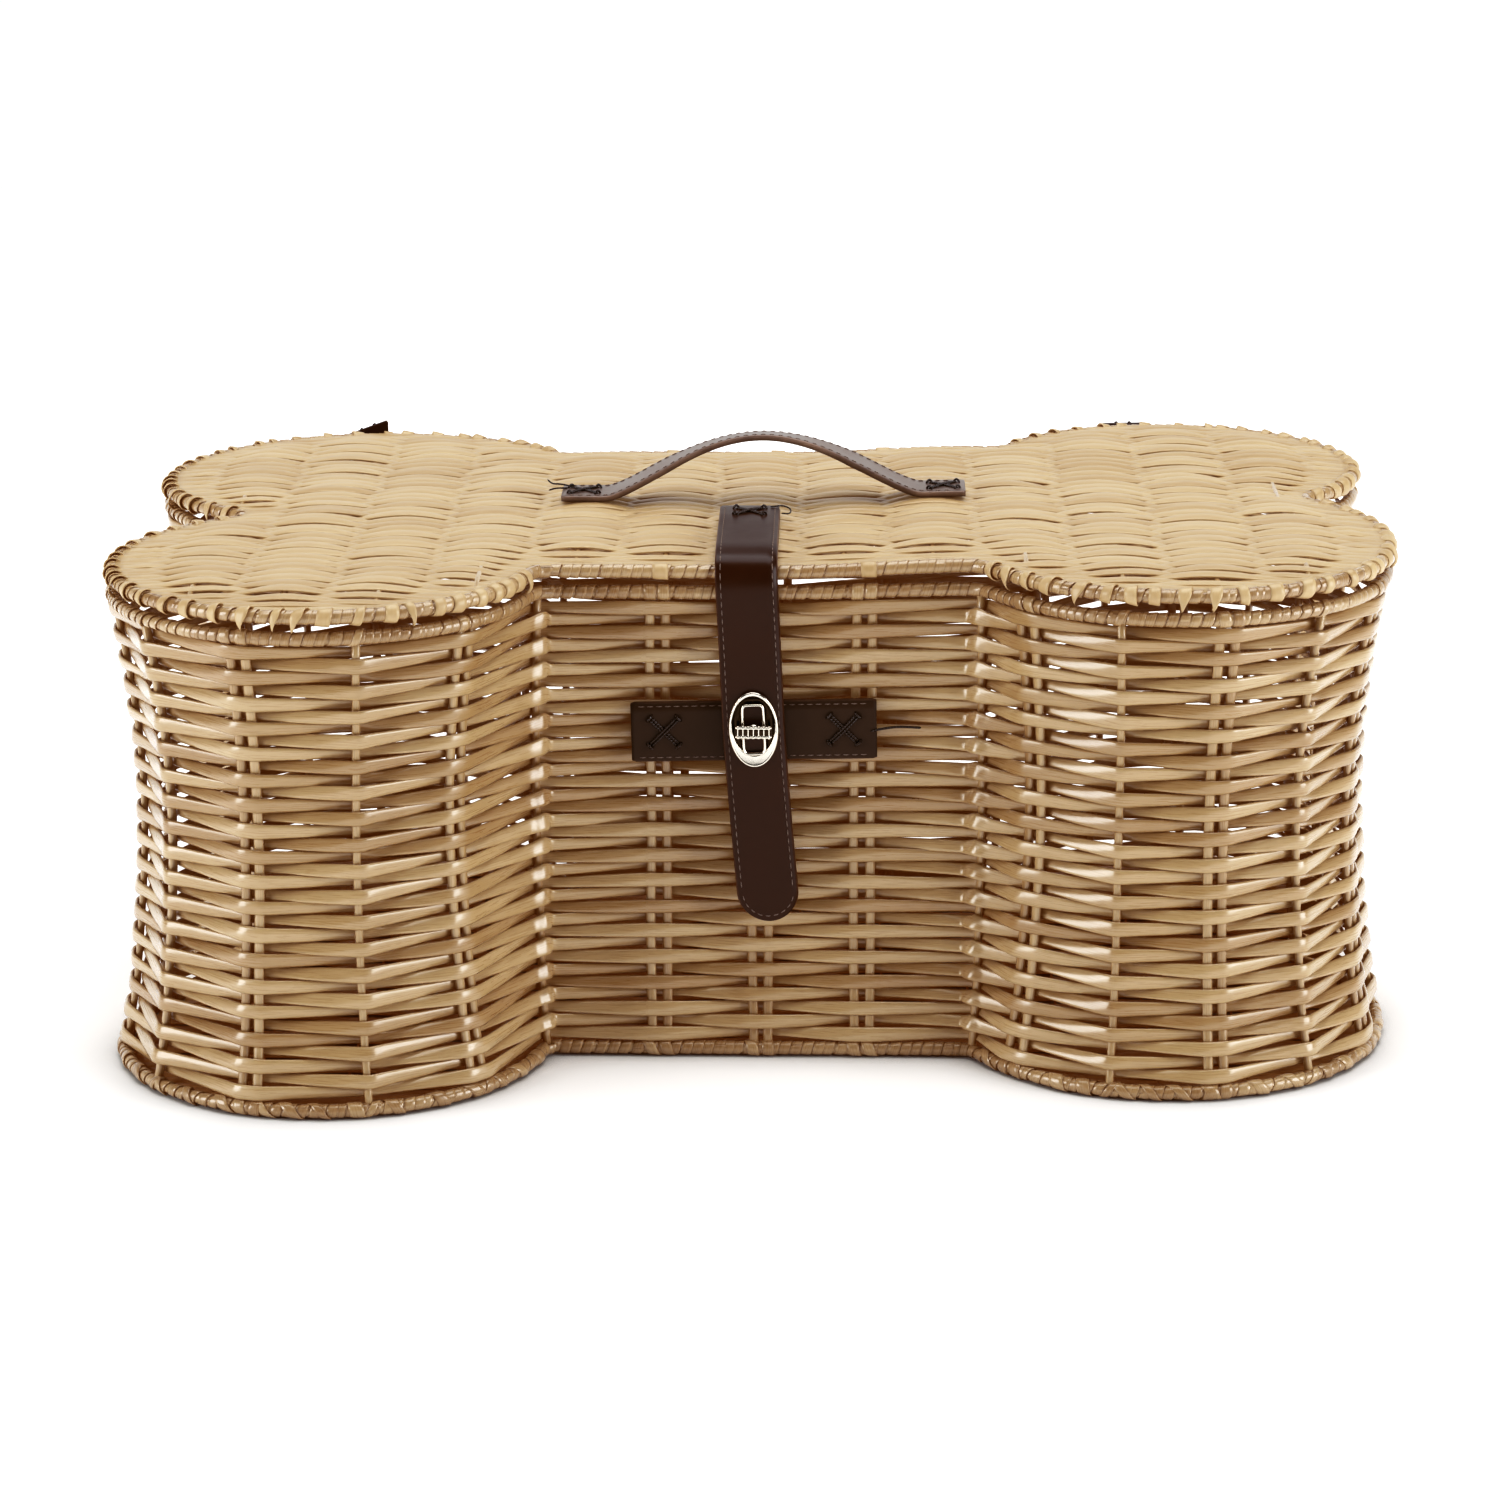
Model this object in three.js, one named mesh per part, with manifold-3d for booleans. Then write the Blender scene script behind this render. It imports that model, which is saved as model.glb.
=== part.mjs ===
// Wicker picnic basket in the shape of a bone, with a strap-hinged lid, a leather
// carrying handle and a leather closing strap held by a turn lock.
// Millimetres, +Z up. The basket stands on z = 0, its front faces -Y and +X is its right.

import * as THREE from "three";
import * as BufferGeometryUtils from "three/addons/utils/BufferGeometryUtils.js";
import Module from "manifold-3d";

const wasm = await Module();
wasm.setup();

// ---------------------------------------------------------------- driving dimensions

// The bone outline, at the outer edge of the rims. The hand-bent lobes aren't alike.
// endSpace is how far the first and last uprights stand from a lobe's ends, as a share of their spacing.
const LOBES = {
  frontRight: { x: 164, y: -56, radius: 91, stakes: 7, endSpace: 0.5 },
  backRight: { x: 175, y: 71, radius: 80, stakes: 7, endSpace: 0.5 },
  backLeft: { x: -165, y: 61, radius: 90, stakes: 8, endSpace: 0.5 },
  frontLeft: { x: -169, y: -93, radius: 86, stakes: 6, endSpace: 1 },
};
const WAIST_STAKES = 3;
const WAIST_HALF_DEPTH = 105;
const CORNER_RADIUS = 6; // at the four necks and the two side notches
const CORNER_STEPS = 2; // even, so that a corner's stake stands at a facet's edge

const BODY_RIM_Z = 190; // centre of the body's top ring
const LID_RIM_Z = 200; // centre of the lid's ring
const WALL_HOLLOW = 8.5; // how far the wall curves in between its rims
const WALL_HOLLOW_BIAS = 1.25; // above 1, the hollow sits higher than half way
const CORNER_HOLLOW = 0.2; // the share of the hollow left at a corner, whose upright is nearly straight
const CORNER_REACH = 32; // how far from a corner's upright the wall takes to reach its full hollow
const FOOT_FLARE = 3; // how far the foot stands out past the rim
const FOOT_FLARE_HEIGHT = 30;
const WALL_THICKNESS = 4;
const WALL_LEVELS = [30, 75, 130]; // heights where the faceted wall bends

const GAP = 0.3; // between pieces that touch
const WIRE_RADIUS = 1.5; // the three rings
const STAKE_RADIUS = 1; // uprights and lid wires
const STAKE_SIDES = 5;
const RING_SIDES = 6;
const BINDING_RADIUS = 3.3;
const BINDING_BORE = 2.2;
const BINDING_SLIT = 32; // half-angle of the slit where stakes leave the binding, degrees
const BINDING_STEPS = 5;

const BASE_THICKNESS = 4;
const LID_TOP_Z = 206;

const LEATHER = 2.5;
const HANDLE_HALF_LENGTH = 83;
const HANDLE_FOOT = 18; // the flat end that is sewn down
const HANDLE_WIDTH = 22;
const HANDLE_RISE = 24.5;
const HANDLE_BELL = 1.5; // shape of the arch: 1 is a parabola, more gives it flared feet
const HANDLE_X = 2;

const STRAP_WIDTH = 24.5;
const STRAP_BACK_Y = -26; // the sewn end on the lid
const STRAP_TIP_Z = 58.2;
const STRAP_SLANT = THREE.MathUtils.degToRad(2.7);
const STRAP_FACE_Y = -108; // outer face of the hanging tail

const LOCK_Z = 138;
const PATCH = { length: 97, height: 24.5, thickness: 2, stitchEnd: 5, belowLock: 2.3 };
const PATCH_SLANT = THREE.MathUtils.degToRad(1.2);
const EYELET = { width: 20, height: 31, plate: 1.2, edge: 0.9, lip: 1.7, frame: 1.5 };
const SLOT = { width: 7, height: 18.5 };
const LOCK_PLATE = { width: 17, height: 27, thickness: 1 };
const WASHER = { width: 17, height: 27, thickness: 0.6 };
const KNOB = { length: 14.5, width: 5.5, thickness: 4, neck: 2.4, head: 3.6, headThickness: 1.2 };
const OVERLAP = 0.3; // how far joined shapes run into each other

const HINGE = { y: 155.3, z: 195, width: 19, thickness: 2.4, lidEndZ: 206.5, bodyEndZ: 150 };
const HINGE_X = { left: -178, right: 159.5 };
const HINGE_BENDS = [175, 162]; // heights where the lower leaf bends to follow the wall

const STITCH = { span: 16, thread: 1.4, height: 0.8, fromEnd: 3 };

// ---------------------------------------------------------------- materials

const finish = (color, roughness, metalness) => () =>
  new THREE.MeshStandardMaterial({ color, roughness, metalness });
const wicker = finish(0xcfae7c, 0.55, 0);
const wickerDark = finish(0xb9935f, 0.6, 0);
const wire = finish(0x9a9a98, 0.4, 0.9);
const leather = finish(0x3b2118, 0.5, 0);
const thread = finish(0x1d120e, 0.8, 0);
const nickel = finish(0xd9cdb8, 0.22, 1);

const basket = new THREE.Group();
const SIDES = [["left", -1], ["right", 1]];

function add(parent, name, geometry, makeMaterial) {
  const mesh = new THREE.Mesh(geometry, makeMaterial());
  mesh.name = name;
  parent.add(mesh);
  return mesh;
}

// ---------------------------------------------------------------- joining and cutting

function toSolid(geometry) {
  const bare = geometry.clone();
  bare.deleteAttribute("normal");
  bare.deleteAttribute("uv");
  const merged = BufferGeometryUtils.mergeVertices(bare, 1e-4);
  return new wasm.Manifold(
    new wasm.Mesh({
      numProp: 3,
      vertProperties: new Float32Array(merged.attributes.position.array),
      triVerts: new Uint32Array(merged.index.array),
    }),
  );
}

function toGeometry(solid) {
  const { numProp, vertProperties, triVerts } = solid.getMesh();
  const geometry = new THREE.BufferGeometry();
  geometry.setAttribute("position", new THREE.BufferAttribute(vertProperties, numProp));
  geometry.setIndex(new THREE.BufferAttribute(triVerts, 1));
  return geometry;
}

function joined(geometries) {
  return toGeometry(geometries.map(toSolid).reduce((whole, piece) => whole.add(piece)));
}

// ---------------------------------------------------------------- the bone outline

// Centre of the small circle that rounds the corner between a lobe and the waist.
function neckCentre(lobe) {
  const y = Math.sign(lobe.y) * (WAIST_HALF_DEPTH + CORNER_RADIUS);
  const reach = Math.sqrt((lobe.radius + CORNER_RADIUS) ** 2 - (y - lobe.y) ** 2);
  return { x: lobe.x - Math.sign(lobe.x) * reach, y };
}

// Centre of the small circle that rounds the notch between two lobes on one side.
function notchCentre(first, second) {
  const dx = second.x - first.x;
  const dy = second.y - first.y;
  const apart = Math.hypot(dx, dy);
  const a = first.radius + CORNER_RADIUS;
  const b = second.radius + CORNER_RADIUS;
  const along = (a * a - b * b + apart * apart) / (2 * apart);
  const aside = Math.sqrt(a * a - along * along);
  return {
    x: first.x + (dx * along + dy * aside) / apart,
    y: first.y + (dy * along - dx * aside) / apart,
  };
}

const angleTo = (from, to) => Math.atan2(to.y - from.y, to.x - from.x);
const positiveTurn = (angle) => (angle + 4 * Math.PI) % (2 * Math.PI);

// Each stretch has a whole number of facets, and each of its uprights stands at a corner between two.
function lobeArc(lobe, before, after) {
  const start = angleTo(lobe, before);
  const sweep = positiveTurn(angleTo(lobe, after) - start);
  return { ...lobe, start, sweep, outward: 1, steps: 2 * (lobe.stakes - 1 + 2 * lobe.endSpace) };
}

function waistLine(y, from, to) {
  return { line: true, y, from, to, stakes: WAIST_STAKES, endSpace: 1, steps: 2 * (WAIST_STAKES + 1) };
}

function cornerArc(centre, before, after) {
  const start = angleTo(centre, before);
  const sweep = -positiveTurn(start - angleTo(centre, after));
  const arc = { ...centre, radius: CORNER_RADIUS, start, sweep, outward: -1, corner: true };
  return { ...arc, stakes: 1, endSpace: 0.5, steps: CORNER_STEPS };
}

// The outline runs anticlockwise, seen from above, from the left end of the front waist.
function makeOutline() {
  const { frontRight, backRight, backLeft, frontLeft } = LOBES;
  const neck = {
    frontRight: neckCentre(frontRight),
    backRight: neckCentre(backRight),
    backLeft: neckCentre(backLeft),
    frontLeft: neckCentre(frontLeft),
  };
  const right = notchCentre(frontRight, backRight);
  const left = notchCentre(backLeft, frontLeft);
  const below = (centre) => ({ x: centre.x, y: centre.y - 1 });
  const above = (centre) => ({ x: centre.x, y: centre.y + 1 });
  return [
    waistLine(-WAIST_HALF_DEPTH, neck.frontLeft.x, neck.frontRight.x),
    cornerArc(neck.frontRight, above(neck.frontRight), frontRight),
    lobeArc(frontRight, neck.frontRight, right),
    cornerArc(right, frontRight, backRight),
    lobeArc(backRight, right, neck.backRight),
    cornerArc(neck.backRight, backRight, below(neck.backRight)),
    waistLine(WAIST_HALF_DEPTH, neck.backRight.x, neck.backLeft.x),
    cornerArc(neck.backLeft, below(neck.backLeft), backLeft),
    lobeArc(backLeft, neck.backLeft, left),
    cornerArc(left, backLeft, frontLeft),
    lobeArc(frontLeft, left, neck.frontLeft),
    cornerArc(neck.frontLeft, frontLeft, above(neck.frontLeft)),
  ];
}

const OUTLINE = makeOutline();

// A place on one stretch of the outline, with the direction that points out of the basket.
function placeOn(stretch, share) {
  if (stretch.line) {
    const x = THREE.MathUtils.lerp(stretch.from, stretch.to, share);
    return { x, y: stretch.y, nx: 0, ny: Math.sign(stretch.y) };
  }
  const angle = stretch.start + stretch.sweep * share;
  const nx = Math.cos(angle);
  const ny = Math.sin(angle);
  return {
    x: stretch.x + stretch.radius * nx,
    y: stretch.y + stretch.radius * ny,
    nx: nx * stretch.outward,
    ny: ny * stretch.outward,
  };
}

const inward = (place, inset) => ({ x: place.x - place.nx * inset, y: place.y - place.ny * inset });

const CORNER_PLACES = OUTLINE.filter((stretch) => stretch.corner).map((stretch) => placeOn(stretch, 0.5));

// The share of the wall's hollow at a place: full along the lobes and waists, and little at a corner.
function hollowShare(place) {
  const distances = CORNER_PLACES.map((corner) => Math.hypot(corner.x - place.x, corner.y - place.y));
  const apart = Math.min(...distances);
  return THREE.MathUtils.lerp(CORNER_HOLLOW, 1, THREE.MathUtils.smoothstep(apart, 0, CORNER_REACH));
}

function placed(stretch, share) {
  const place = placeOn(stretch, share);
  return { ...place, hollow: hollowShare(place) };
}

const PLACES = OUTLINE.flatMap((stretch) =>
  Array.from({ length: stretch.steps }, (_, i) => placed(stretch, i / stretch.steps)),
);

// Where the uprights stand: evenly along each lobe and waist, and one in each corner.
const STAKES = OUTLINE.flatMap((stretch) => {
  const { stakes, endSpace } = stretch;
  const spaces = stakes - 1 + 2 * endSpace;
  return Array.from({ length: stakes }, (_, i) => placed(stretch, (i + endSpace) / spaces));
});

// How far inside the rims' outer edge the wall's outer face is, at a height.
function wallInset(z, hollowHere = 1) {
  const hollow = WALL_HOLLOW * Math.sin(Math.PI * (z / BODY_RIM_Z) ** WALL_HOLLOW_BIAS);
  return hollow * hollowHere - FOOT_FLARE * Math.max(0, 1 - z / FOOT_FLARE_HEIGHT);
}

// Sweeps a closed section all the way round the outline. sectionAt gives its [inset, z] pairs at a place.
function sweepRound(sectionAt) {
  const positions = [];
  const index = [];
  for (const place of PLACES) {
    for (const [inset, z] of sectionAt(place)) {
      const point = inward(place, inset);
      positions.push(point.x, point.y, z);
    }
  }
  const rows = PLACES.length;
  const size = sectionAt(PLACES[0]).length;
  for (let i = 0; i < rows; i += 1) {
    for (let j = 0; j < size; j += 1) {
      const a = i * size + j;
      const b = ((i + 1) % rows) * size + j;
      const c = ((i + 1) % rows) * size + ((j + 1) % size);
      const d = i * size + ((j + 1) % size);
      index.push(a, b, c, a, c, d);
    }
  }
  const geometry = new THREE.BufferGeometry();
  geometry.setAttribute("position", new THREE.Float32BufferAttribute(positions, 3));
  geometry.setIndex(index);
  return geometry;
}

function flatPanel(inset, bottom, top) {
  const points = PLACES.map((place) => inward(place, inset)).map(({ x, y }) => new THREE.Vector2(x, y));
  const panel = new THREE.ExtrudeGeometry(new THREE.Shape(points), {
    depth: top - bottom,
    bevelEnabled: false,
  });
  return panel.translate(0, 0, bottom);
}

// ---------------------------------------------------------------- wires and bindings

// Anticlockwise in (inset, z) terms turns the swept faces inside out, so sections run clockwise.
function roundSection(inset, z, radius, sides) {
  return Array.from({ length: sides }, (_, i) => {
    const angle = (-2 * Math.PI * i) / sides;
    return [inset + radius * Math.cos(angle), z + radius * Math.sin(angle)];
  });
}

// A wound binding: a tube with one slit, which faces the way the stakes leave it.
function bindingSection(inset, z, slitDirection) {
  const facing = THREE.MathUtils.degToRad(slitDirection);
  const half = THREE.MathUtils.degToRad(BINDING_SLIT);
  const sweep = 2 * Math.PI - 2 * half;
  const arc = (radius, share) => {
    const angle = facing - half - sweep * share;
    return [inset + radius * Math.cos(angle), z + radius * Math.sin(angle)];
  };
  const shares = Array.from({ length: BINDING_STEPS + 1 }, (_, i) => i / BINDING_STEPS);
  return [
    ...shares.map((share) => arc(BINDING_RADIUS, share)),
    ...shares.reverse().map((share) => arc(BINDING_BORE, share)),
  ];
}

// A path with straight stretches between its points, sampled exactly at them.
class BentLine extends THREE.Curve {
  constructor(points) {
    super();
    this.points = points;
  }

  getPoint(t, target = new THREE.Vector3()) {
    const last = this.points.length - 1;
    const i = Math.min(Math.floor(t * last), last - 1);
    return target.lerpVectors(this.points[i], this.points[i + 1], t * last - i);
  }

  getUtoTmapping(u) {
    return u;
  }
}

function bentWire(points, radius, sides) {
  const corners = Array.from({ length: sides }, (_, i) => {
    const angle = (2 * Math.PI * i) / sides;
    return new THREE.Vector2(radius * Math.cos(angle), radius * Math.sin(angle));
  });
  return new THREE.ExtrudeGeometry(new THREE.Shape(corners), {
    extrudePath: new BentLine(points),
    steps: points.length - 1,
    bevelEnabled: false,
  });
}

const BODY_RING = { inset: BINDING_RADIUS, z: BODY_RIM_Z };
const FOOT_RING = { inset: wallInset(0) + BINDING_RADIUS, z: BINDING_RADIUS };
const LID_RING = { inset: BINDING_RADIUS, z: LID_RIM_Z };
const STAKE_TURN = THREE.MathUtils.degToRad(35); // how steeply an upright turns out to its ring
const STAKE_TURN_LENGTH = 5;
const STAKE_END_STRETCH = 8; // the straight run beside each end of the wall

// An upright stands against the wall's inner face and turns out to both rings.
function upright(stake) {
  const behindWall = (z) => wallInset(z, stake.hollow) + WALL_THICKNESS + GAP + STAKE_RADIUS;
  const reach = STAKE_TURN_LENGTH * Math.cos(STAKE_TURN);
  const rise = STAKE_TURN_LENGTH * Math.sin(STAKE_TURN);
  const foot = [FOOT_RING.inset + reach, FOOT_RING.z + rise];
  const head = [BODY_RING.inset + reach, BODY_RING.z - rise];
  const heights = [foot[1] + STAKE_END_STRETCH, ...WALL_LEVELS, head[1] - STAKE_END_STRETCH];
  const route = [
    [FOOT_RING.inset, FOOT_RING.z],
    foot,
    ...heights.map((z) => [behindWall(z), z]),
    head,
    [BODY_RING.inset, BODY_RING.z],
  ];
  return bentWire(
    route.map(([inset, z]) => {
      const { x, y } = inward(stake, inset);
      return new THREE.Vector3(x, y, z);
    }),
    STAKE_RADIUS,
    STAKE_SIDES,
  );
}

// Where a line at constant x crosses the ring, in pairs from front to back.
function crossings(x, inset) {
  const ring = PLACES.map((place) => inward(place, inset));
  const hits = [];
  ring.forEach((a, i) => {
    const b = ring[(i + 1) % ring.length];
    if (a.x < x !== b.x < x) {
      hits.push(a.y + ((x - a.x) / (b.x - a.x)) * (b.y - a.y));
    }
  });
  hits.sort((first, second) => first - second);
  return hits;
}

const LID_WIRE_X = [-214, -178, -142, -106, -70, -35, 0, 35, 70, 106, 142, 178, 214];

function lidWires() {
  return LID_WIRE_X.flatMap((x) => {
    const hits = crossings(x, LID_RING.inset);
    const wires = [];
    for (let i = 0; i < hits.length; i += 2) {
      const length = hits[i + 1] - hits[i];
      const rod = new THREE.CylinderGeometry(STAKE_RADIUS, STAKE_RADIUS, length, STAKE_SIDES);
      wires.push(rod.translate(x, (hits[i] + hits[i + 1]) / 2, LID_RING.z));
    }
    return wires;
  });
}

const ringWire = (ring) => sweepRound(() => roundSection(ring.inset, ring.z, WIRE_RADIUS, RING_SIDES));
const binding = (ring, slit) => sweepRound(() => bindingSection(ring.inset, ring.z, slit));

// ---------------------------------------------------------------- leather

// A strap seen from its side: a ribbon of even thickness along a centre line.
function ribbonShape(centreLine, thickness) {
  const points = centreLine.map(([a, b]) => new THREE.Vector2(a, b));
  const side = (sign) =>
    points.map((point, i) => {
      const before = points[Math.max(i - 1, 0)];
      const after = points[Math.min(i + 1, points.length - 1)];
      const along = after.clone().sub(before).normalize();
      return new THREE.Vector2(-along.y, along.x).multiplyScalar((sign * thickness) / 2).add(point);
    });
  return new THREE.Shape([...side(1), ...side(-1).reverse()]);
}

const X = new THREE.Vector3(1, 0, 0);
const Y = new THREE.Vector3(0, 1, 0);
const Z = new THREE.Vector3(0, 0, 1);

// A strap whose centre line is given as [y, z] pairs, with its width along X.
function strapAlongY(centreLine, thickness, width) {
  const strap = new THREE.ExtrudeGeometry(ribbonShape(centreLine, thickness), {
    depth: width,
    bevelEnabled: false,
  });
  return strap.translate(0, 0, -width / 2).applyMatrix4(new THREE.Matrix4().makeBasis(Y, Z, X));
}

// Shapes drawn in the XZ plane, seen from the front, and thickened along Y.
function frontPlate(shape, thickness, curveSegments = 8) {
  const plate = new THREE.ExtrudeGeometry(shape, { depth: thickness, bevelEnabled: false, curveSegments });
  const back = Y.clone().negate();
  return plate.translate(0, 0, -thickness).applyMatrix4(new THREE.Matrix4().makeBasis(X, Z, back));
}

function crossStitchShape() {
  const half = STITCH.thread / 2;
  const reach = STITCH.span / 2;
  const arm = [
    [half, half],
    [reach, half],
    [reach, -half],
  ];
  const quarter = Math.PI / 2;
  const centre = new THREE.Vector2();
  const turned = (turns) =>
    arm.map(([x, y]) => new THREE.Vector2(x, y).rotateAround(centre, (turns + 0.5) * quarter));
  const points = [0, 3, 2, 1].flatMap(turned);
  const unique = points.filter((point, i) => point.distanceTo(points[(i + 1) % points.length]) > half / 2);
  return new THREE.Shape(unique);
}

function flatStitch() {
  return new THREE.ExtrudeGeometry(crossStitchShape(), { depth: STITCH.height, bevelEnabled: false });
}

function frontStitch() {
  return frontPlate(crossStitchShape(), STITCH.height);
}

const LEATHER_ON_LID_Z = LID_TOP_Z + GAP;

function handleLine() {
  const steps = 14;
  const arch = HANDLE_HALF_LENGTH - HANDLE_FOOT;
  const centre = LEATHER_ON_LID_Z + LEATHER / 2;
  const curve = Array.from({ length: steps + 1 }, (_, i) => {
    const share = (2 * i) / steps - 1;
    return [arch * share, centre + HANDLE_RISE * (1 - share * share) ** HANDLE_BELL];
  });
  return [[-HANDLE_HALF_LENGTH, centre], ...curve, [HANDLE_HALF_LENGTH, centre]];
}

function addHandle() {
  const shape = ribbonShape(handleLine(), LEATHER);
  const strap = new THREE.ExtrudeGeometry(shape, { depth: HANDLE_WIDTH, bevelEnabled: false });
  strap.translate(0, 0, -HANDLE_WIDTH / 2);
  strap.applyMatrix4(new THREE.Matrix4().makeBasis(X, Z, Y.clone().negate()));
  add(basket, "handle_strap", strap, leather).position.x = HANDLE_X;
  for (const [name, side] of SIDES) {
    const stitch = add(basket, `handle_stitch_${name}`, flatStitch(), thread);
    const x = HANDLE_X + side * (HANDLE_HALF_LENGTH - HANDLE_FOOT / 2);
    stitch.position.set(x, 0, LEATHER_ON_LID_Z + LEATHER + GAP);
  }
}

// Each hinge is one strap behind the rims. It bends at the hinge line, so it is two leaves that meet there.
function addHinge(side, x) {
  const { thickness, width } = HINGE;
  const face = HINGE.y - 2 * GAP - STITCH.height;
  const middle = face - thickness / 2;
  const clearOfWall = (z) => [WALL_REAR_Y - wallInset(z) + 2 * GAP + thickness / 2, z];
  const lidLeaf = [
    [middle, HINGE.z + GAP],
    [middle, HINGE.lidEndZ],
  ];
  const bodyLeaf = [
    [middle, HINGE.z - GAP],
    [middle, BODY_RIM_Z - BINDING_RADIUS],
    ...HINGE_BENDS.map(clearOfWall),
    clearOfWall(HINGE.bodyEndZ),
  ];
  add(basket, `hinge_strap_${side}_lid`, strapAlongY(lidLeaf, thickness, width), leather).position.x = x;
  add(basket, `hinge_strap_${side}_body`, strapAlongY(bodyLeaf, thickness, width), leather).position.x = x;

  const lidStitch = add(basket, `hinge_stitch_${side}_lid`, frontStitch(), thread);
  lidStitch.position.set(x, face + GAP, (HINGE.z + HINGE.lidEndZ) / 2);

  const top = clearOfWall(HINGE_BENDS.at(-1));
  const bottom = clearOfWall(HINGE.bodyEndZ);
  const lean = Math.atan2(top[0] - bottom[0], top[1] - bottom[1]);
  const bodyStitch = add(basket, `hinge_stitch_${side}_body`, frontStitch(), thread);
  const clear = thickness / 2 + GAP / Math.cos(lean);
  bodyStitch.position.set(x, (top[0] + bottom[0]) / 2 + clear, (top[1] + bottom[1]) / 2);
  bodyStitch.rotation.x = -lean;
}

// ---------------------------------------------------------------- closing strap and lock

const WALL_REAR_Y = LOBES.backLeft.y + LOBES.backLeft.radius;
const STRAP_TOP_X = -(LID_RIM_Z - LOCK_Z) * Math.tan(STRAP_SLANT);
const STRAP_FOLD_Z = LID_RIM_Z - 0.7;
const STRAP_SHOULDER = { straight: 2.4, in: 2.6, up: 6, flatFrom: 7 }; // its turn over the lid's rim
const TAIL_SLOT_SPACE = 0.6; // how much wider the leather's slot is than the eyelet's
const WASHER_SLOT_SPACE = 0.4;

function ovalShape(width, height) {
  const shape = new THREE.Shape();
  shape.absellipse(0, 0, width / 2, height / 2, 0, 2 * Math.PI);
  return shape;
}

function rectangleShape(width, height) {
  const [a, b] = [width / 2, height / 2];
  return new THREE.Shape([
    new THREE.Vector2(-a, -b),
    new THREE.Vector2(a, -b),
    new THREE.Vector2(a, b),
    new THREE.Vector2(-a, b),
  ]);
}

function withHole(shape, hole) {
  shape.holes.push(hole);
  return shape;
}

const slotShape = (clearance = 0) => rectangleShape(SLOT.width + clearance, SLOT.height + clearance);

function addClosingStrap() {
  const top = LEATHER_ON_LID_Z + LEATHER / 2;
  const fall = STRAP_FACE_Y + LEATHER / 2;
  const line = [
    [fall, STRAP_FOLD_Z + GAP],
    [fall, LID_RIM_Z + STRAP_SHOULDER.straight],
    [fall + STRAP_SHOULDER.in, LID_RIM_Z + STRAP_SHOULDER.up],
    [-WAIST_HALF_DEPTH + STRAP_SHOULDER.flatFrom, top],
    [STRAP_BACK_Y, top],
  ];
  add(basket, "closing_strap", strapAlongY(line, LEATHER, STRAP_WIDTH), leather).position.x = STRAP_TOP_X;
  const stitch = add(basket, "closing_strap_stitch", flatStitch(), thread);
  const stitchY = STRAP_BACK_Y - STITCH.span / 2 - STITCH.fromEnd;
  stitch.position.set(STRAP_TOP_X, stitchY, LEATHER_ON_LID_Z + LEATHER + GAP);
}

// The tail's own frame has its origin at the lock, on the tail's outer face, +Y into the basket.
function addTail() {
  const tail = new THREE.Group();
  tail.position.set(0, STRAP_FACE_Y, LOCK_Z);
  tail.rotation.y = -STRAP_SLANT;
  basket.add(tail);

  const half = STRAP_WIDTH / 2;
  const topZ = STRAP_FOLD_Z - GAP - LOCK_Z - half * Math.sin(STRAP_SLANT);
  const shape = new THREE.Shape();
  shape.moveTo(half, topZ);
  shape.lineTo(-half, topZ);
  shape.absarc(0, STRAP_TIP_Z - LOCK_Z + half, half, Math.PI, 2 * Math.PI);
  shape.closePath();
  add(tail, "closing_strap_tail", frontPlate(withHole(shape, slotShape(TAIL_SLOT_SPACE)), LEATHER), leather);

  const washer = withHole(ovalShape(WASHER.width, WASHER.height), slotShape(WASHER_SLOT_SPACE));
  add(tail, "eyelet_back_washer", frontPlate(washer, WASHER.thickness), nickel).position.y = LEATHER + GAP;

  const { width, height, plate, edge, lip } = EYELET;
  const raised = edge + OVERLAP;
  const plateBody = frontPlate(withHole(ovalShape(width, height), slotShape()), plate);
  const lipRing = withHole(ovalShape(width, height), ovalShape(width - 2 * lip, height - 2 * lip));
  const outerLip = frontPlate(lipRing, raised);
  const frame = rectangleShape(SLOT.width + 2 * EYELET.frame, SLOT.height + 2 * EYELET.frame);
  const slotFrame = frontPlate(withHole(frame, slotShape()), raised);
  outerLip.translate(0, -edge, 0);
  slotFrame.translate(0, -edge, 0);
  add(tail, "eyelet_plate", joined([plateBody, outerLip, slotFrame]), nickel).position.y = -GAP - plate;
}

const LOCK_PLATE_Y = STRAP_FACE_Y + LEATHER + WASHER.thickness + 2 * GAP;
const PATCH_Y = LOCK_PLATE_Y + LOCK_PLATE.thickness + GAP;

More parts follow.
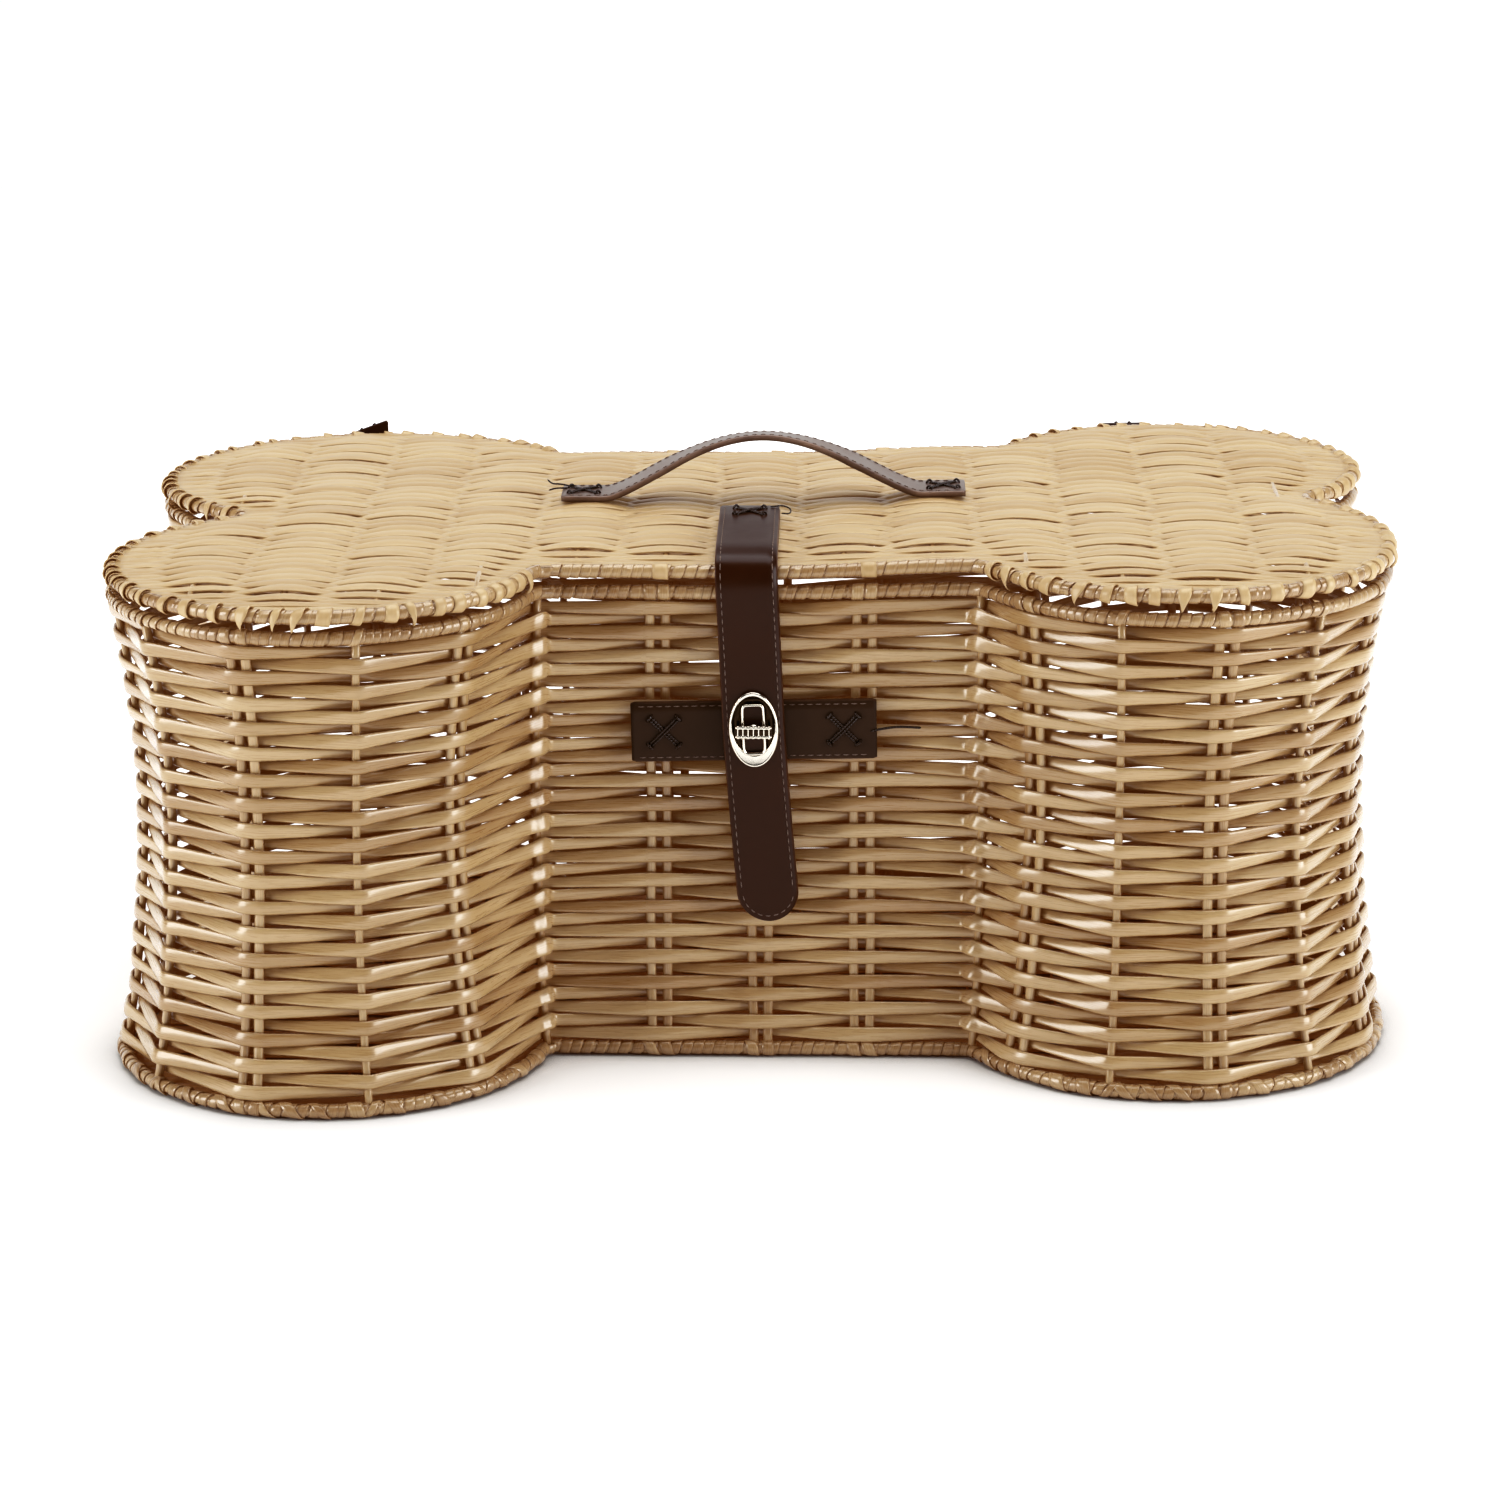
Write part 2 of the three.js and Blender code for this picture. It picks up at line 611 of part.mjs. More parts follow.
function addLock() {
  const spindleHole = new THREE.Path();
  spindleHole.absarc(0, 0, KNOB.neck + GAP, 0, 2 * Math.PI);
  const headHole = new THREE.Path();
  headHole.absarc(0, PATCH.belowLock, KNOB.head + GAP, 0, 2 * Math.PI);

  const slanted = new THREE.Group();
  slanted.position.set(0, PATCH_Y, LOCK_Z - PATCH.belowLock);
  slanted.rotation.y = -PATCH_SLANT;
  basket.add(slanted);
  const patch = withHole(rectangleShape(PATCH.length, PATCH.height), headHole);
  add(slanted, "lock_patch", frontPlate(patch, PATCH.thickness), leather);

  for (const [name, side] of SIDES) {
    const stitch = add(slanted, `patch_stitch_${name}`, frontStitch(), thread);
    const x = side * (PATCH.length / 2 - STITCH.span / 2 - PATCH.stitchEnd);
    stitch.position.set(x, -GAP - STITCH.height, 0);
  }

  const washer = frontPlate(ovalShape(WASHER.width, WASHER.height), WASHER.thickness);
  const washerY = PATCH_Y + PATCH.thickness + GAP;
  add(basket, "lock_back_washer", washer, nickel).position.set(0, washerY, LOCK_Z);

  const plate = withHole(ovalShape(LOCK_PLATE.width, LOCK_PLATE.height), spindleHole);
  const plateMesh = add(basket, "lock_plate", frontPlate(plate, LOCK_PLATE.thickness), nickel);
  plateMesh.position.set(0, LOCK_PLATE_Y, LOCK_Z);

  add(basket, "lock_knob", knobGeometry(), nickel).position.set(0, STRAP_FACE_Y, LOCK_Z);
}

// The turning bar stands in front of the eyelet; its spindle ends in a head behind the plate.
function knobGeometry() {
  const barBack = -GAP - EYELET.plate - EYELET.edge - GAP;
  const plateBack = LOCK_PLATE_Y + LOCK_PLATE.thickness - STRAP_FACE_Y;
  const headBack = plateBack + GAP + KNOB.headThickness;
  const disc = (radius, from, to) =>
    new THREE.CylinderGeometry(radius, radius, to - from, 20).translate(0, (from + to) / 2, 0);
  const neck = disc(KNOB.neck, barBack - OVERLAP, headBack - OVERLAP);
  const head = disc(KNOB.head, plateBack + GAP, headBack);
  const bar = new THREE.Shape();
  const straight = (KNOB.length - KNOB.width) / 2;
  bar.absarc(straight, 0, KNOB.width / 2, -Math.PI / 2, Math.PI / 2);
  bar.absarc(-straight, 0, KNOB.width / 2, Math.PI / 2, 1.5 * Math.PI);
  const barSolid = frontPlate(bar, KNOB.thickness).translate(0, barBack - KNOB.thickness, 0);
  return joined([neck, head, barSolid]);
}

// ---------------------------------------------------------------- the basket

function wallSection({ hollow }) {
  const bottom = FOOT_RING.z + BINDING_RADIUS + GAP;
  const top = BODY_RING.z - BINDING_RADIUS - GAP;
  const heights = [bottom, ...WALL_LEVELS, top];
  const outer = heights.map((z) => [wallInset(z, hollow), z]);
  const inner = heights.map((z) => [wallInset(z, hollow) + WALL_THICKNESS, z]);
  return [...inner.reverse(), ...outer];
}

function addBody() {
  add(basket, "side_weave", sweepRound(wallSection), wicker);
  const baseInset = FOOT_RING.inset + BINDING_RADIUS + GAP;
  add(basket, "base_weave", flatPanel(baseInset, 0, BASE_THICKNESS), wickerDark);
  const frame = joined([ringWire(BODY_RING), ringWire(FOOT_RING), ...STAKES.map(upright)]);
  add(basket, "body_wire_frame", frame, wire);
  const slit = THREE.MathUtils.radToDeg(STAKE_TURN);
  add(basket, "top_rim_binding", binding(BODY_RING, -slit), wicker);
  add(basket, "bottom_rim_binding", binding(FOOT_RING, slit), wicker);
}

function addLid() {
  const panelInset = LID_RING.inset + BINDING_RADIUS + GAP;
  const panelBottom = LID_RING.z + STAKE_RADIUS + GAP;
  add(basket, "lid_weave", flatPanel(panelInset, panelBottom, LID_TOP_Z), wicker);
  add(basket, "lid_wire_frame", joined([ringWire(LID_RING), ...lidWires()]), wire);
  add(basket, "lid_rim_binding", binding(LID_RING, 0), wicker);
}

addBody();
addLid();
addHandle();
addHinge("left", HINGE_X.left);
addHinge("right", HINGE_X.right);
addClosingStrap();
addTail();
addLock();

export default basket;
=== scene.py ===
import math

import bpy
import numpy as np
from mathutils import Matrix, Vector


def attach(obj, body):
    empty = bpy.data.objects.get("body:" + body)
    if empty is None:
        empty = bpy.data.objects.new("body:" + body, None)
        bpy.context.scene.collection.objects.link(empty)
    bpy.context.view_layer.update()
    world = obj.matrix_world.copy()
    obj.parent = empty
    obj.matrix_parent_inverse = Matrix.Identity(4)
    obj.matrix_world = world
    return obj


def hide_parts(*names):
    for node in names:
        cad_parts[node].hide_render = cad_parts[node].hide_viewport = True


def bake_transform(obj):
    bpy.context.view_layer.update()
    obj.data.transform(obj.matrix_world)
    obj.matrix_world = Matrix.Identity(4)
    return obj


# A bone-shaped wicker picnic basket: woven walls, lid and base, wound rims, and leather straps.
# Lengths in this file are millimetres, as in the CAD part, and become metres when a mesh is made.

MM = 0.001
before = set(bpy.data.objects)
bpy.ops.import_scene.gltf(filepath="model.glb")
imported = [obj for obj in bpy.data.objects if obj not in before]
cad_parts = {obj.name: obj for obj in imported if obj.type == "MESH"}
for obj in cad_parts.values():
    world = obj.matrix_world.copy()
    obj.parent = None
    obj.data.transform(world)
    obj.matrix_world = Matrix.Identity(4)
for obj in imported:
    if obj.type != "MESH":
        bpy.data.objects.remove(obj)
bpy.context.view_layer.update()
chance = np.random.default_rng(7)

# ---- driving dimensions of the part

LOBES = {
    "front_right": (164.0, -56.0, 91.0),
    "back_right": (175.0, 71.0, 80.0),
    "back_left": (-165.0, 61.0, 90.0),
    "front_left": (-169.0, -93.0, 86.0),
}
WAIST_HALF_DEPTH = 105.0
CORNER_RADIUS = 6.0
BODY_RIM_Z = 190.0
LID_RIM_Z = 200.0
RIM_RADIUS = 3.3
WALL_HOLLOW = 8.5
WALL_HOLLOW_BIAS = 1.25
CORNER_HOLLOW = 0.2
CORNER_REACH = 32.0
FOOT_FLARE = 3.0
FOOT_FLARE_HEIGHT = 30.0
GAP = 0.3
LEATHER = 2.5
LEATHER_ON_LID_Z = 206.3
LID_WIRE_X = [-214, -178, -142, -106, -70, -35, 0, 35, 70, 106, 142, 178, 214]

WALL_BOTTOM = 2 * RIM_RADIUS
WALL_TOP = BODY_RIM_Z - 2.0
UP = np.array([0.0, 0.0, 1.0])

# Hand-bent wicker is not quite true. These are the largest bends, which fade out over the parts they name.
LOBE_BULGE = 6.0  # the front right lobe, forward
WALL_RISE = 2.2  # the walls' height, towards the right
LID_RISE = 3.0  # the lid, up on the right
LID_SAG = 2.4  # the lid, down at the back left


def smooth_step(t):
    t = np.clip(t, 0, 1)
    return t * t * (3 - 2 * t)


def wall_inset(z, hollow_share=1.0):
    """How far the wall's outer face is inside the rims' outer edge, at a height."""
    z = np.asarray(z, float)
    hollow = WALL_HOLLOW * np.sin(math.pi * np.clip(z / BODY_RIM_Z, 0, 1) ** WALL_HOLLOW_BIAS)
    return hollow * hollow_share - FOOT_FLARE * np.clip(1 - z / FOOT_FLARE_HEIGHT, 0, None)


def bulge(points):
    share = smooth_step((points[:, 0] - 75) / 55) * smooth_step((-points[:, 1] - 35) / 80)
    points[:, 1] -= LOBE_BULGE * share


def bent_body(points):
    bulge(points)
    taller = WALL_RISE * smooth_step((points[:, 0] - 10) / 90)
    points[:, 2] += taller * np.clip(points[:, 2] / BODY_RIM_Z, 0, 1)
    return points


def bent_lid(points):
    bulge(points)
    raised = LID_RISE * smooth_step((points[:, 0] - 10) / 80)
    sagged = LID_SAG * smooth_step((-points[:, 0] - 50) / 90) * smooth_step((points[:, 1] + 20) / 110)
    points[:, 2] += raised - sagged
    return points


# ---- the bone outline


def neck_centre(lobe):
    """The centre of the small corner between a lobe and the waist."""
    x, y, radius = lobe
    level = math.copysign(WAIST_HALF_DEPTH + CORNER_RADIUS, y)
    reach = math.sqrt((radius + CORNER_RADIUS) ** 2 - (level - y) ** 2)
    return x - math.copysign(reach, x), level


def notch_centre(first, second):
    """The centre of the small corner where two lobes meet."""
    dx = second[0] - first[0]
    dy = second[1] - first[1]
    apart = math.hypot(dx, dy)
    a = first[2] + CORNER_RADIUS
    b = second[2] + CORNER_RADIUS
    along = (a * a - b * b + apart * apart) / (2 * apart)
    aside = math.sqrt(a * a - along * along)
    return first[0] + (dx * along + dy * aside) / apart, first[1] + (dy * along - dx * aside) / apart


def angle_to(start, end):
    return math.atan2(end[1] - start[1], end[0] - start[0])


def positive_turn(angle):
    return (angle + 4 * math.pi) % (2 * math.pi)


def lobe_arc(name, before, after, stakes, margin, first_is_double):
    lobe = LOBES[name]
    start = angle_to(lobe, before)
    sweep = positive_turn(angle_to(lobe, after) - start)
    shares = [(i + margin) / (stakes - 1 + 2 * margin) for i in range(stakes)]
    kinds = ["double" if (i % 2 == 0) == first_is_double else "single" for i in range(stakes)]
    return {"kind": "arc", "centre": lobe[:2], "radius": lobe[2], "start": start, "sweep": sweep,
            "outward": 1, "stakes": list(zip(shares, kinds)), "step": 4.0}


def corner_arc(centre, before, after):
    start = angle_to(centre, before)
    sweep = -positive_turn(start - angle_to(centre, after))
    return {"kind": "arc", "centre": centre, "radius": CORNER_RADIUS, "start": start, "sweep": sweep,
            "outward": -1, "stakes": [(0.5, "corner")], "step": 0.9}


def waist_line(y, x_from, x_to):
    return {"kind": "line", "y": y, "x": (x_from, x_to), "outward": 1,
            "stakes": [((i + 1) / 4, "double") for i in range(3)], "step": 4.0}


def place_on(stretch, share):
    """Places (x, y) and outward directions (x, y) at shares of one stretch of the outline."""
    share = np.asarray(share, float)
    if stretch["kind"] == "line":
        x = stretch["x"][0] + (stretch["x"][1] - stretch["x"][0]) * share
        outward = math.copysign(1, stretch["y"])
        return x, np.full_like(x, stretch["y"]), np.zeros_like(x), np.full_like(x, outward)
    angle = stretch["start"] + stretch["sweep"] * share
    x, y = np.cos(angle), np.sin(angle)
    cx, cy = stretch["centre"]
    out = stretch["outward"]
    return cx + stretch["radius"] * x, cy + stretch["radius"] * y, x * out, y * out


def stretch_length(stretch):
    if stretch["kind"] == "line":
        return abs(stretch["x"][1] - stretch["x"][0])
    return stretch["radius"] * abs(stretch["sweep"])


class Outline:
    """The closed outline at the rims' outer edge, anticlockwise from the left end of the front waist."""

    def __init__(self):
        neck = {name: neck_centre(lobe) for name, lobe in LOBES.items()}
        right = notch_centre(LOBES["front_right"], LOBES["back_right"])
        left = notch_centre(LOBES["back_left"], LOBES["front_left"])
        side = {name: (c[0], c[1] - math.copysign(1, c[1])) for name, c in neck.items()}
        stretches = [
            waist_line(-WAIST_HALF_DEPTH, neck["front_left"][0], neck["front_right"][0]),
            corner_arc(neck["front_right"], side["front_right"], LOBES["front_right"]),
            lobe_arc("front_right", neck["front_right"], right, 7, 0.5, True),
            corner_arc(right, LOBES["front_right"], LOBES["back_right"]),
            lobe_arc("back_right", right, neck["back_right"], 7, 0.5, True),
            corner_arc(neck["back_right"], LOBES["back_right"], side["back_right"]),
            waist_line(WAIST_HALF_DEPTH, neck["back_right"][0], neck["back_left"][0]),
            corner_arc(neck["back_left"], side["back_left"], LOBES["back_left"]),
            lobe_arc("back_left", neck["back_left"], left, 8, 0.5, True),
            corner_arc(left, LOBES["back_left"], LOBES["front_left"]),
            lobe_arc("front_left", left, neck["front_left"], 6, 1.0, False),
            corner_arc(neck["front_left"], LOBES["front_left"], side["front_left"]),
        ]
        columns = []
        self.stakes = []
        self.corners = []
        self.waist_spans = []
        self.lobe_spans = []
        travelled = 0.0
        for stretch in stretches:
            length = stretch_length(stretch)
            steps = max(4, math.ceil(length / stretch["step"]))
            share = np.arange(steps) / steps
            columns.append(np.stack([travelled + length * share, *place_on(stretch, share)]))
            self.stakes += [(travelled + length * s, kind) for s, kind in stretch["stakes"]]
            if stretch["outward"] < 0:
                self.corners.append(travelled + length / 2)
            else:
                spans = self.lobe_spans if stretch["kind"] == "arc" else self.waist_spans
                spans.append((travelled, travelled + length))
            travelled += length
        self.length = travelled
        self.s, self.x, self.y, self.nx, self.ny = np.concatenate(columns, axis=1)

    def at(self, distance, inset, z):
        """Points (n, 3) and outward directions (n, 3) at distances round the outline."""
        d = np.mod(np.asarray(distance, float), self.length)
        s = np.append(self.s, self.length)
        x, y, nx, ny = (np.interp(d, s, np.append(v, v[0])) for v in (self.x, self.y, self.nx, self.ny))
        size = np.hypot(nx, ny)
        nx, ny = nx / size, ny / size
        points = np.stack([x - nx * inset, y - ny * inset, np.broadcast_to(z, d.shape)], axis=1)
        return points, np.stack([nx, ny, np.zeros_like(nx)], axis=1)

    def waist_side(self, corner):
        """Which way the waist is from a corner: 1 further on, -1 further back, and 0 if neither."""
        for low, high in self.waist_spans:
            if low <= (corner + 20) % self.length <= high:
                return 1
            if low <= (corner - 20) % self.length <= high:
                return -1
        return 0

    def hollow_share(self, distance):
        """The share of the wall's hollow: full along lobes and waists, little at a corner's upright."""
        points, _ = self.at(distance, 0, 0)
        corners, _ = self.at(self.corners, 0, 0)
        apart = np.linalg.norm(points[:, None, :] - corners[None, :, :], axis=2).min(axis=1)
        return CORNER_HOLLOW + (1 - CORNER_HOLLOW) * smooth_step(apart / CORNER_REACH)

    def crossings(self, axis, level, inset):
        """Where the line at this level of an axis (0 is x, 1 is y) is inside the outline, as (from, to)."""
        here = np.stack([self.x - self.nx * inset, self.y - self.ny * inset])
        following = np.roll(here, -1, axis=1)
        crossed = (here[axis] < level) != (following[axis] < level)
        here = here[:, crossed]
        step = following[:, crossed] - here
        hits = np.sort(here[1 - axis] + (level - here[axis]) / step[axis] * step[1 - axis])
        return list(zip(hits[0::2], hits[1::2]))


bone = Outline()

# ---- making meshes


def unit(vectors):
    """These directions, each one long."""
    return vectors / np.linalg.norm(vectors, axis=1)[:, None]


def distances(path):
    """How far along a path each of its points is."""
    return np.concatenate([[0], np.cumsum(np.linalg.norm(np.diff(path, axis=0), axis=1))])


def sampled(path, gone, places):
    """A path, or directions along it, at other distances."""
    return np.stack([np.interp(places, gone, column) for column in path.T], axis=1)


def fixed(path, *direction):
    """One direction, at every point of a path."""
    return np.broadcast_to(np.array(direction), path.shape).copy()


def slow_noise(count, period, size):
    """A smooth random line of this many values that closes on itself."""
    knots = max(4, int(round(count / period)))
    values = chance.normal(0, size, knots)
    place = np.arange(count) / count * knots
    first = np.floor(place).astype(int)
    share = smooth_step(place - first)
    return values[first % knots] * (1 - share) + values[(first + 1) % knots] * share


def oval_section(sides, squareness):
    """A flat oval, as (across, through) shares of the half width and half thickness."""
    angle = 2 * math.pi * (np.arange(sides) + 0.5) / sides
    across = np.sign(np.cos(angle)) * np.abs(np.cos(angle)) ** squareness
    through = np.sign(np.sin(angle)) * np.abs(np.sin(angle)) ** squareness
    return np.stack([across, through], axis=1)


SLAB_COLUMNS = 7


def slab_section(half_width, half_thickness, edge_radius):
    """A strap's section: flat faces with rounded edges, as (across, through) in millimetres."""
    reach = half_width - edge_radius
    upper = [(x, half_thickness) for x in np.linspace(-reach, reach, SLAB_COLUMNS)]
    for turn in np.linspace(0, 1, 4)[1:] * math.pi / 2:
        upper.append((half_width - edge_radius * (1 - math.sin(turn)),
                      half_thickness - edge_radius * (1 - math.cos(turn))))
    return np.array(upper + [(-x, -y) for x, y in upper])[::-1]


class Pile:
    """Collects strands and straps, and makes one mesh of them."""

    def __init__(self):
        self.points = []
        self.faces = []
        self.fibre = []
        self.count = 0

    def grid(self, points, fibre, closed):
        """Adds rows of points (rows, sides, 3) joined into a tube."""
        rows, sides, _ = points.shape
        index = self.count + np.arange(rows * sides).reshape(rows, sides)
        nearest = index if closed else index[:-1]
        following = np.roll(index, -1, axis=0) if closed else index[1:]
        beside = [np.roll(row, -1, axis=1) for row in (following, nearest)]
        self.faces.append(np.stack([nearest, following, *beside], axis=2).reshape(-1, 4))
        if not closed:
            for row, turn in ((index[0], 1), (index[-1], -1)):
                self.cap(row[::turn])
        self.points.append(points.reshape(-1, 3))
        self.fibre.append(fibre.reshape(-1, 3))
        self.count += rows * sides

    def cap(self, row):
        """Closes a tube's end with quads between its two sides."""
        n = len(row)
        quads = [(row[i], row[i + 1], row[n - 2 - i], row[n - 1 - i]) for i in range(n // 2 - 1)]
        self.faces.append(np.array(quads).reshape(-1, 4))

    def strand(self, path, across, through, half_width, half_thickness, closed=False, sides=10,
               squareness=0.75, section=None):
        """Adds a strand along a path, with its width and thickness directions at each point."""
        shape = oval_section(sides, squareness) if section is None else section
        rows = len(path)
        width = np.broadcast_to(half_width, rows)[:, None, None]
        thickness = np.broadcast_to(half_thickness, rows)[:, None, None]
        points = (path[:, None, :] + across[:, None, :] * width * shape[None, :, 0, None]
                  + through[:, None, :] * thickness * shape[None, :, 1, None])
        fibre = np.empty(points.shape)
        fibre[:, :, 0] = distances(path)[:, None] * MM
        fibre[:, :, 1] = shape[None, :, 0] * (1 if section is None else 1 / np.abs(shape[:, 0]).max())
        fibre[:, :, 2] = chance.random()
        self.grid(points, fibre, closed)

    def make(self, name, material, body, replaced=(), bent=None):
        """Makes the mesh, which rides on a body; given (first body, second, start, end) instead, it stays in
        place on no body.
        """
        points = np.concatenate(self.points)
        if bent is not None:
            points = bent(points)
        points = points * MM
        faces = np.concatenate(self.faces).astype(np.int32)
        mesh = bpy.data.meshes.new(name)
        mesh.vertices.add(len(points))
        mesh.vertices.foreach_set("co", points.astype(np.float32).ravel())
        mesh.loops.add(faces.size)
        mesh.loops.foreach_set("vertex_index", faces.ravel())
        mesh.polygons.add(len(faces))
        mesh.polygons.foreach_set("loop_start", np.arange(len(faces), dtype=np.int32) * 4)
        mesh.polygons.foreach_set("use_smooth", np.ones(len(faces), bool))
        mesh.update(calc_edges=True)
        mesh.validate()
        fibre = mesh.attributes.new("fibre", "FLOAT_VECTOR", "POINT")
        fibre.data.foreach_set("vector", np.concatenate(self.fibre).astype(np.float32).ravel())
        piece = bpy.data.objects.new(name, mesh)
        bpy.context.scene.collection.objects.link(piece)
        mesh.materials.append(material)
        if replaced:
            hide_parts(*replaced)
        if isinstance(body, str):
            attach(piece, body)
        else:
            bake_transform(piece)

    def weave(self, name, cane, body, node, slot="wicker"):
        """Makes a wicker piece, bent as its body is."""
        self.make(name, cane, body, [node], {"basket_body": bent_body, "lid": bent_lid}[body])


# ---- materials


class Nodes:
    """A short way to write the nodes of a material or of the world."""

    def __init__(self, owner, shader="Principled BSDF"):
        owner.use_nodes = True
        self.tree = owner.node_tree
        self.shader = self.tree.nodes[shader]

    def fill(self, socket, value):
        if isinstance(value, bpy.types.NodeSocket):
            self.tree.links.new(value, socket)
        else:
            socket.default_value = value

    def add(self, kind, settings=None, **inputs):
        node = self.tree.nodes.new(kind)
        for key, value in (settings or {}).items():
            setattr(node, key, value)
        for key, value in inputs.items():
            self.fill(node.inputs[key.replace("_", " ")], value)
        return node

    def shade(self, **inputs):
        for key, value in inputs.items():
            self.fill(self.shader.inputs[key.replace("_", " ")], value)

    def math(self, operation, *values):
        node = self.add("ShaderNodeMath", {"operation": operation})
        for socket, value in zip(node.inputs, values):
            self.fill(socket, value)
        return node.outputs[0]

    def ramp(self, factor, stops):
        node = self.add("ShaderNodeValToRGB", Fac=factor)
        elements = node.color_ramp.elements
        while len(elements) < len(stops):
            elements.new(0.5)
        for element, (place, colour) in zip(elements, stops):
            element.position = place
            element.color = (*colour, 1)
        return node.outputs["Color"]

    def fibre(self):
        """(along the strand in metres, across it, the strand's own number)"""
        attribute = self.add("ShaderNodeAttribute", {"attribute_name": "fibre"})
        return self.add("ShaderNodeSeparateXYZ", Vector=attribute.outputs["Vector"]).outputs

    def noise(self, vector, scale, detail):
        node = self.add("ShaderNodeTexNoise", Vector=vector, Scale=scale, Detail=detail, Roughness=0.55)
        return node.outputs["Fac"]

    def place(self):
        return self.add("ShaderNodeTexCoord").outputs["Object"]

    def range(self, value, low, high, to_low, to_high):
        node = self.add("ShaderNodeMapRange", Value=value, From_Min=low, From_Max=high, To_Min=to_low,
                        To_Max=to_high)
        return node.outputs[0]

    def bump(self, strength, distance, **inputs):
        return self.add("ShaderNodeBump", Strength=strength, Distance=distance, **inputs).outputs["Normal"]


def new_material(name):
    material = bpy.data.materials.new(name)
    return material, Nodes(material)


def wicker_material(name, pale, mid, deep, gloss, coat):
    """Resin cane: each strand has its own tone, fine lengthwise streaks and a satin gloss. It also glows a
    faint orange everywhere, a painted glow that warms its shadows in place of light coming through and
    between the canes."""
    material, n = new_material(name)
    along, across, own = n.fibre()
    stretched = n.add("ShaderNodeCombineXYZ", X=n.math("MULTIPLY", along, 90.0),
                      Y=n.math("MULTIPLY", across, 5.0), Z=n.math("MULTIPLY", own, 300.0))
    streak = n.noise(stretched.outputs[0], 1.0, 4.0)
    patch = n.noise(n.place(), 26.0, 2.0)
    tone = n.math("MULTIPLY", own, 0.42)
    tone = n.math("ADD", tone, n.math("MULTIPLY", streak, 0.34))
    tone = n.math("ADD", tone, n.math("MULTIPLY", patch, 0.30))
    # The emission below is painted light: a faint orange glow over all the cane that warms its shadows.
    n.shade(Base_Color=n.ramp(tone, [(0.22, deep), (0.52, mid), (0.84, pale)]),
            Roughness=n.range(streak, 0.3, 0.7, gloss - 0.06, gloss + 0.10),
            Normal=n.bump(0.30, 0.0003, Height=streak),
            Specular_IOR_Level=0.5, Coat_Weight=coat, Coat_Roughness=0.20,
            Emission_Color=(1.0, 0.24, 0.0, 1.0), Emission_Strength=0.042)
    return material


def leather_material(name, face, worn, gloss, shine, polish):
    """Smooth dark leather: fine grain, faint mottling, edges worn a little lighter, and a thin polish."""
    material, n = new_material(name)
    across = n.fibre()[1]
    place = n.place()
    mottle = n.noise(place, 55.0, 4.0)
    cells = n.add("ShaderNodeTexVoronoi", {"feature": "DISTANCE_TO_EDGE"}, Vector=place, Scale=1150.0)
    pores = n.noise(place, 2600.0, 2.0)
    edge = n.range(n.math("ABSOLUTE", across), 0.93, 1.0, 0.0, 0.75)
    wear = n.math("MULTIPLY", edge, n.range(mottle, 0.35, 0.65, 0.35, 1.0))
    tone = n.math("ADD", n.math("MULTIPLY", mottle, 0.30), wear)
    grain = n.bump(0.22, 0.0002, Height=cells.outputs["Distance"])
    n.shade(Base_Color=n.ramp(tone, [(0.08, [c * 0.8 for c in face]), (0.25, face), (0.85, worn)]),
            Roughness=n.range(mottle, 0.3, 0.7, gloss - 0.05, gloss + 0.09),
            Normal=n.bump(0.10, 0.0001, Height=pores, Normal=grain),
            Specular_IOR_Level=shine, Coat_Weight=polish, Coat_Roughness=0.32)
    return material


def thread_material(name, colour, sheen):
    """Waxed thread: two plies wound round each other."""
    material, n = new_material(name)
    along, across, _ = n.fibre()
    turn = n.math("ADD", n.math("MULTIPLY", along, 5200.0), n.math("MULTIPLY", across, 2.2))
    ply = n.math("SINE", turn)
    dark = [c * 0.55 for c in colour]
    n.shade(Base_Color=n.ramp(n.range(ply, -1.0, 1.0, 0.0, 1.0), [(0.0, dark), (0.6, colour)]),
            Normal=n.bump(0.5, 0.0002, Height=ply), Roughness=sheen)
    return material


def nickel_material(name, colour, gloss):
    """Plated metal: polished, with faint brushing and a slightly uneven shine."""
    material, n = new_material(name)
    place = n.place()
    cloud = n.noise(place, 300.0, 3.0)
    brush = n.add("ShaderNodeMapping", Vector=place, Scale=(400.0, 400.0, 6000.0))
    lines = n.noise(brush.outputs[0], 1.0, 2.0)
    n.shade(Base_Color=n.ramp(cloud, [(0.3, [c * 0.9 for c in colour]), (0.7, colour)]),
            Roughness=n.range(cloud, 0.3, 0.7, gloss - 0.04, gloss + 0.08),
            Normal=n.bump(0.04, 0.0001, Height=lines), Metallic=1.0)
    return material


# Cane: pale, middle and deep tones, then how dull the gloss is and how much clear coat it has.
wall_cane = wicker_material(
    "wall_cane", (0.44, 0.340, 0.195), (0.350, 0.254, 0.131), (0.265, 0.172, 0.076), 0.28, 1.0)
lid_cane = wicker_material(
    "lid_cane", (0.51, 0.402, 0.236), (0.455, 0.350, 0.198), (0.39, 0.288, 0.150), 0.45, 0.4)
# The rim cane is set a little darker than the wall cane: painted shade for the deep gaps between its
# windings.
rim_cane = wicker_material(
    "rim_cane", (0.42, 0.318, 0.182), (0.335, 0.240, 0.128), (0.25, 0.163, 0.076), 0.28, 1.0)
base_cane = wicker_material(
    "base_cane", (0.58, 0.39, 0.195), (0.50, 0.325, 0.155), (0.40, 0.245, 0.11), 0.45, 0.4)

# Leather: the face's and the worn edge's colours, then dullness, shine and polish.
brown_leather = leather_material(
    "brown_leather", (0.040, 0.012, 0.0035), (0.12, 0.054, 0.027), 0.36, 0.08, 0.45)
handle_leather = leather_material(
    "handle_leather", (0.135, 0.084, 0.063), (0.30, 0.205, 0.155), 0.40, 0.45, 0.5)
cut_leather = leather_material(
    "cut_leather", (0.052, 0.030, 0.018), (0.13, 0.070, 0.042), 0.42, 0.14, 0.1)

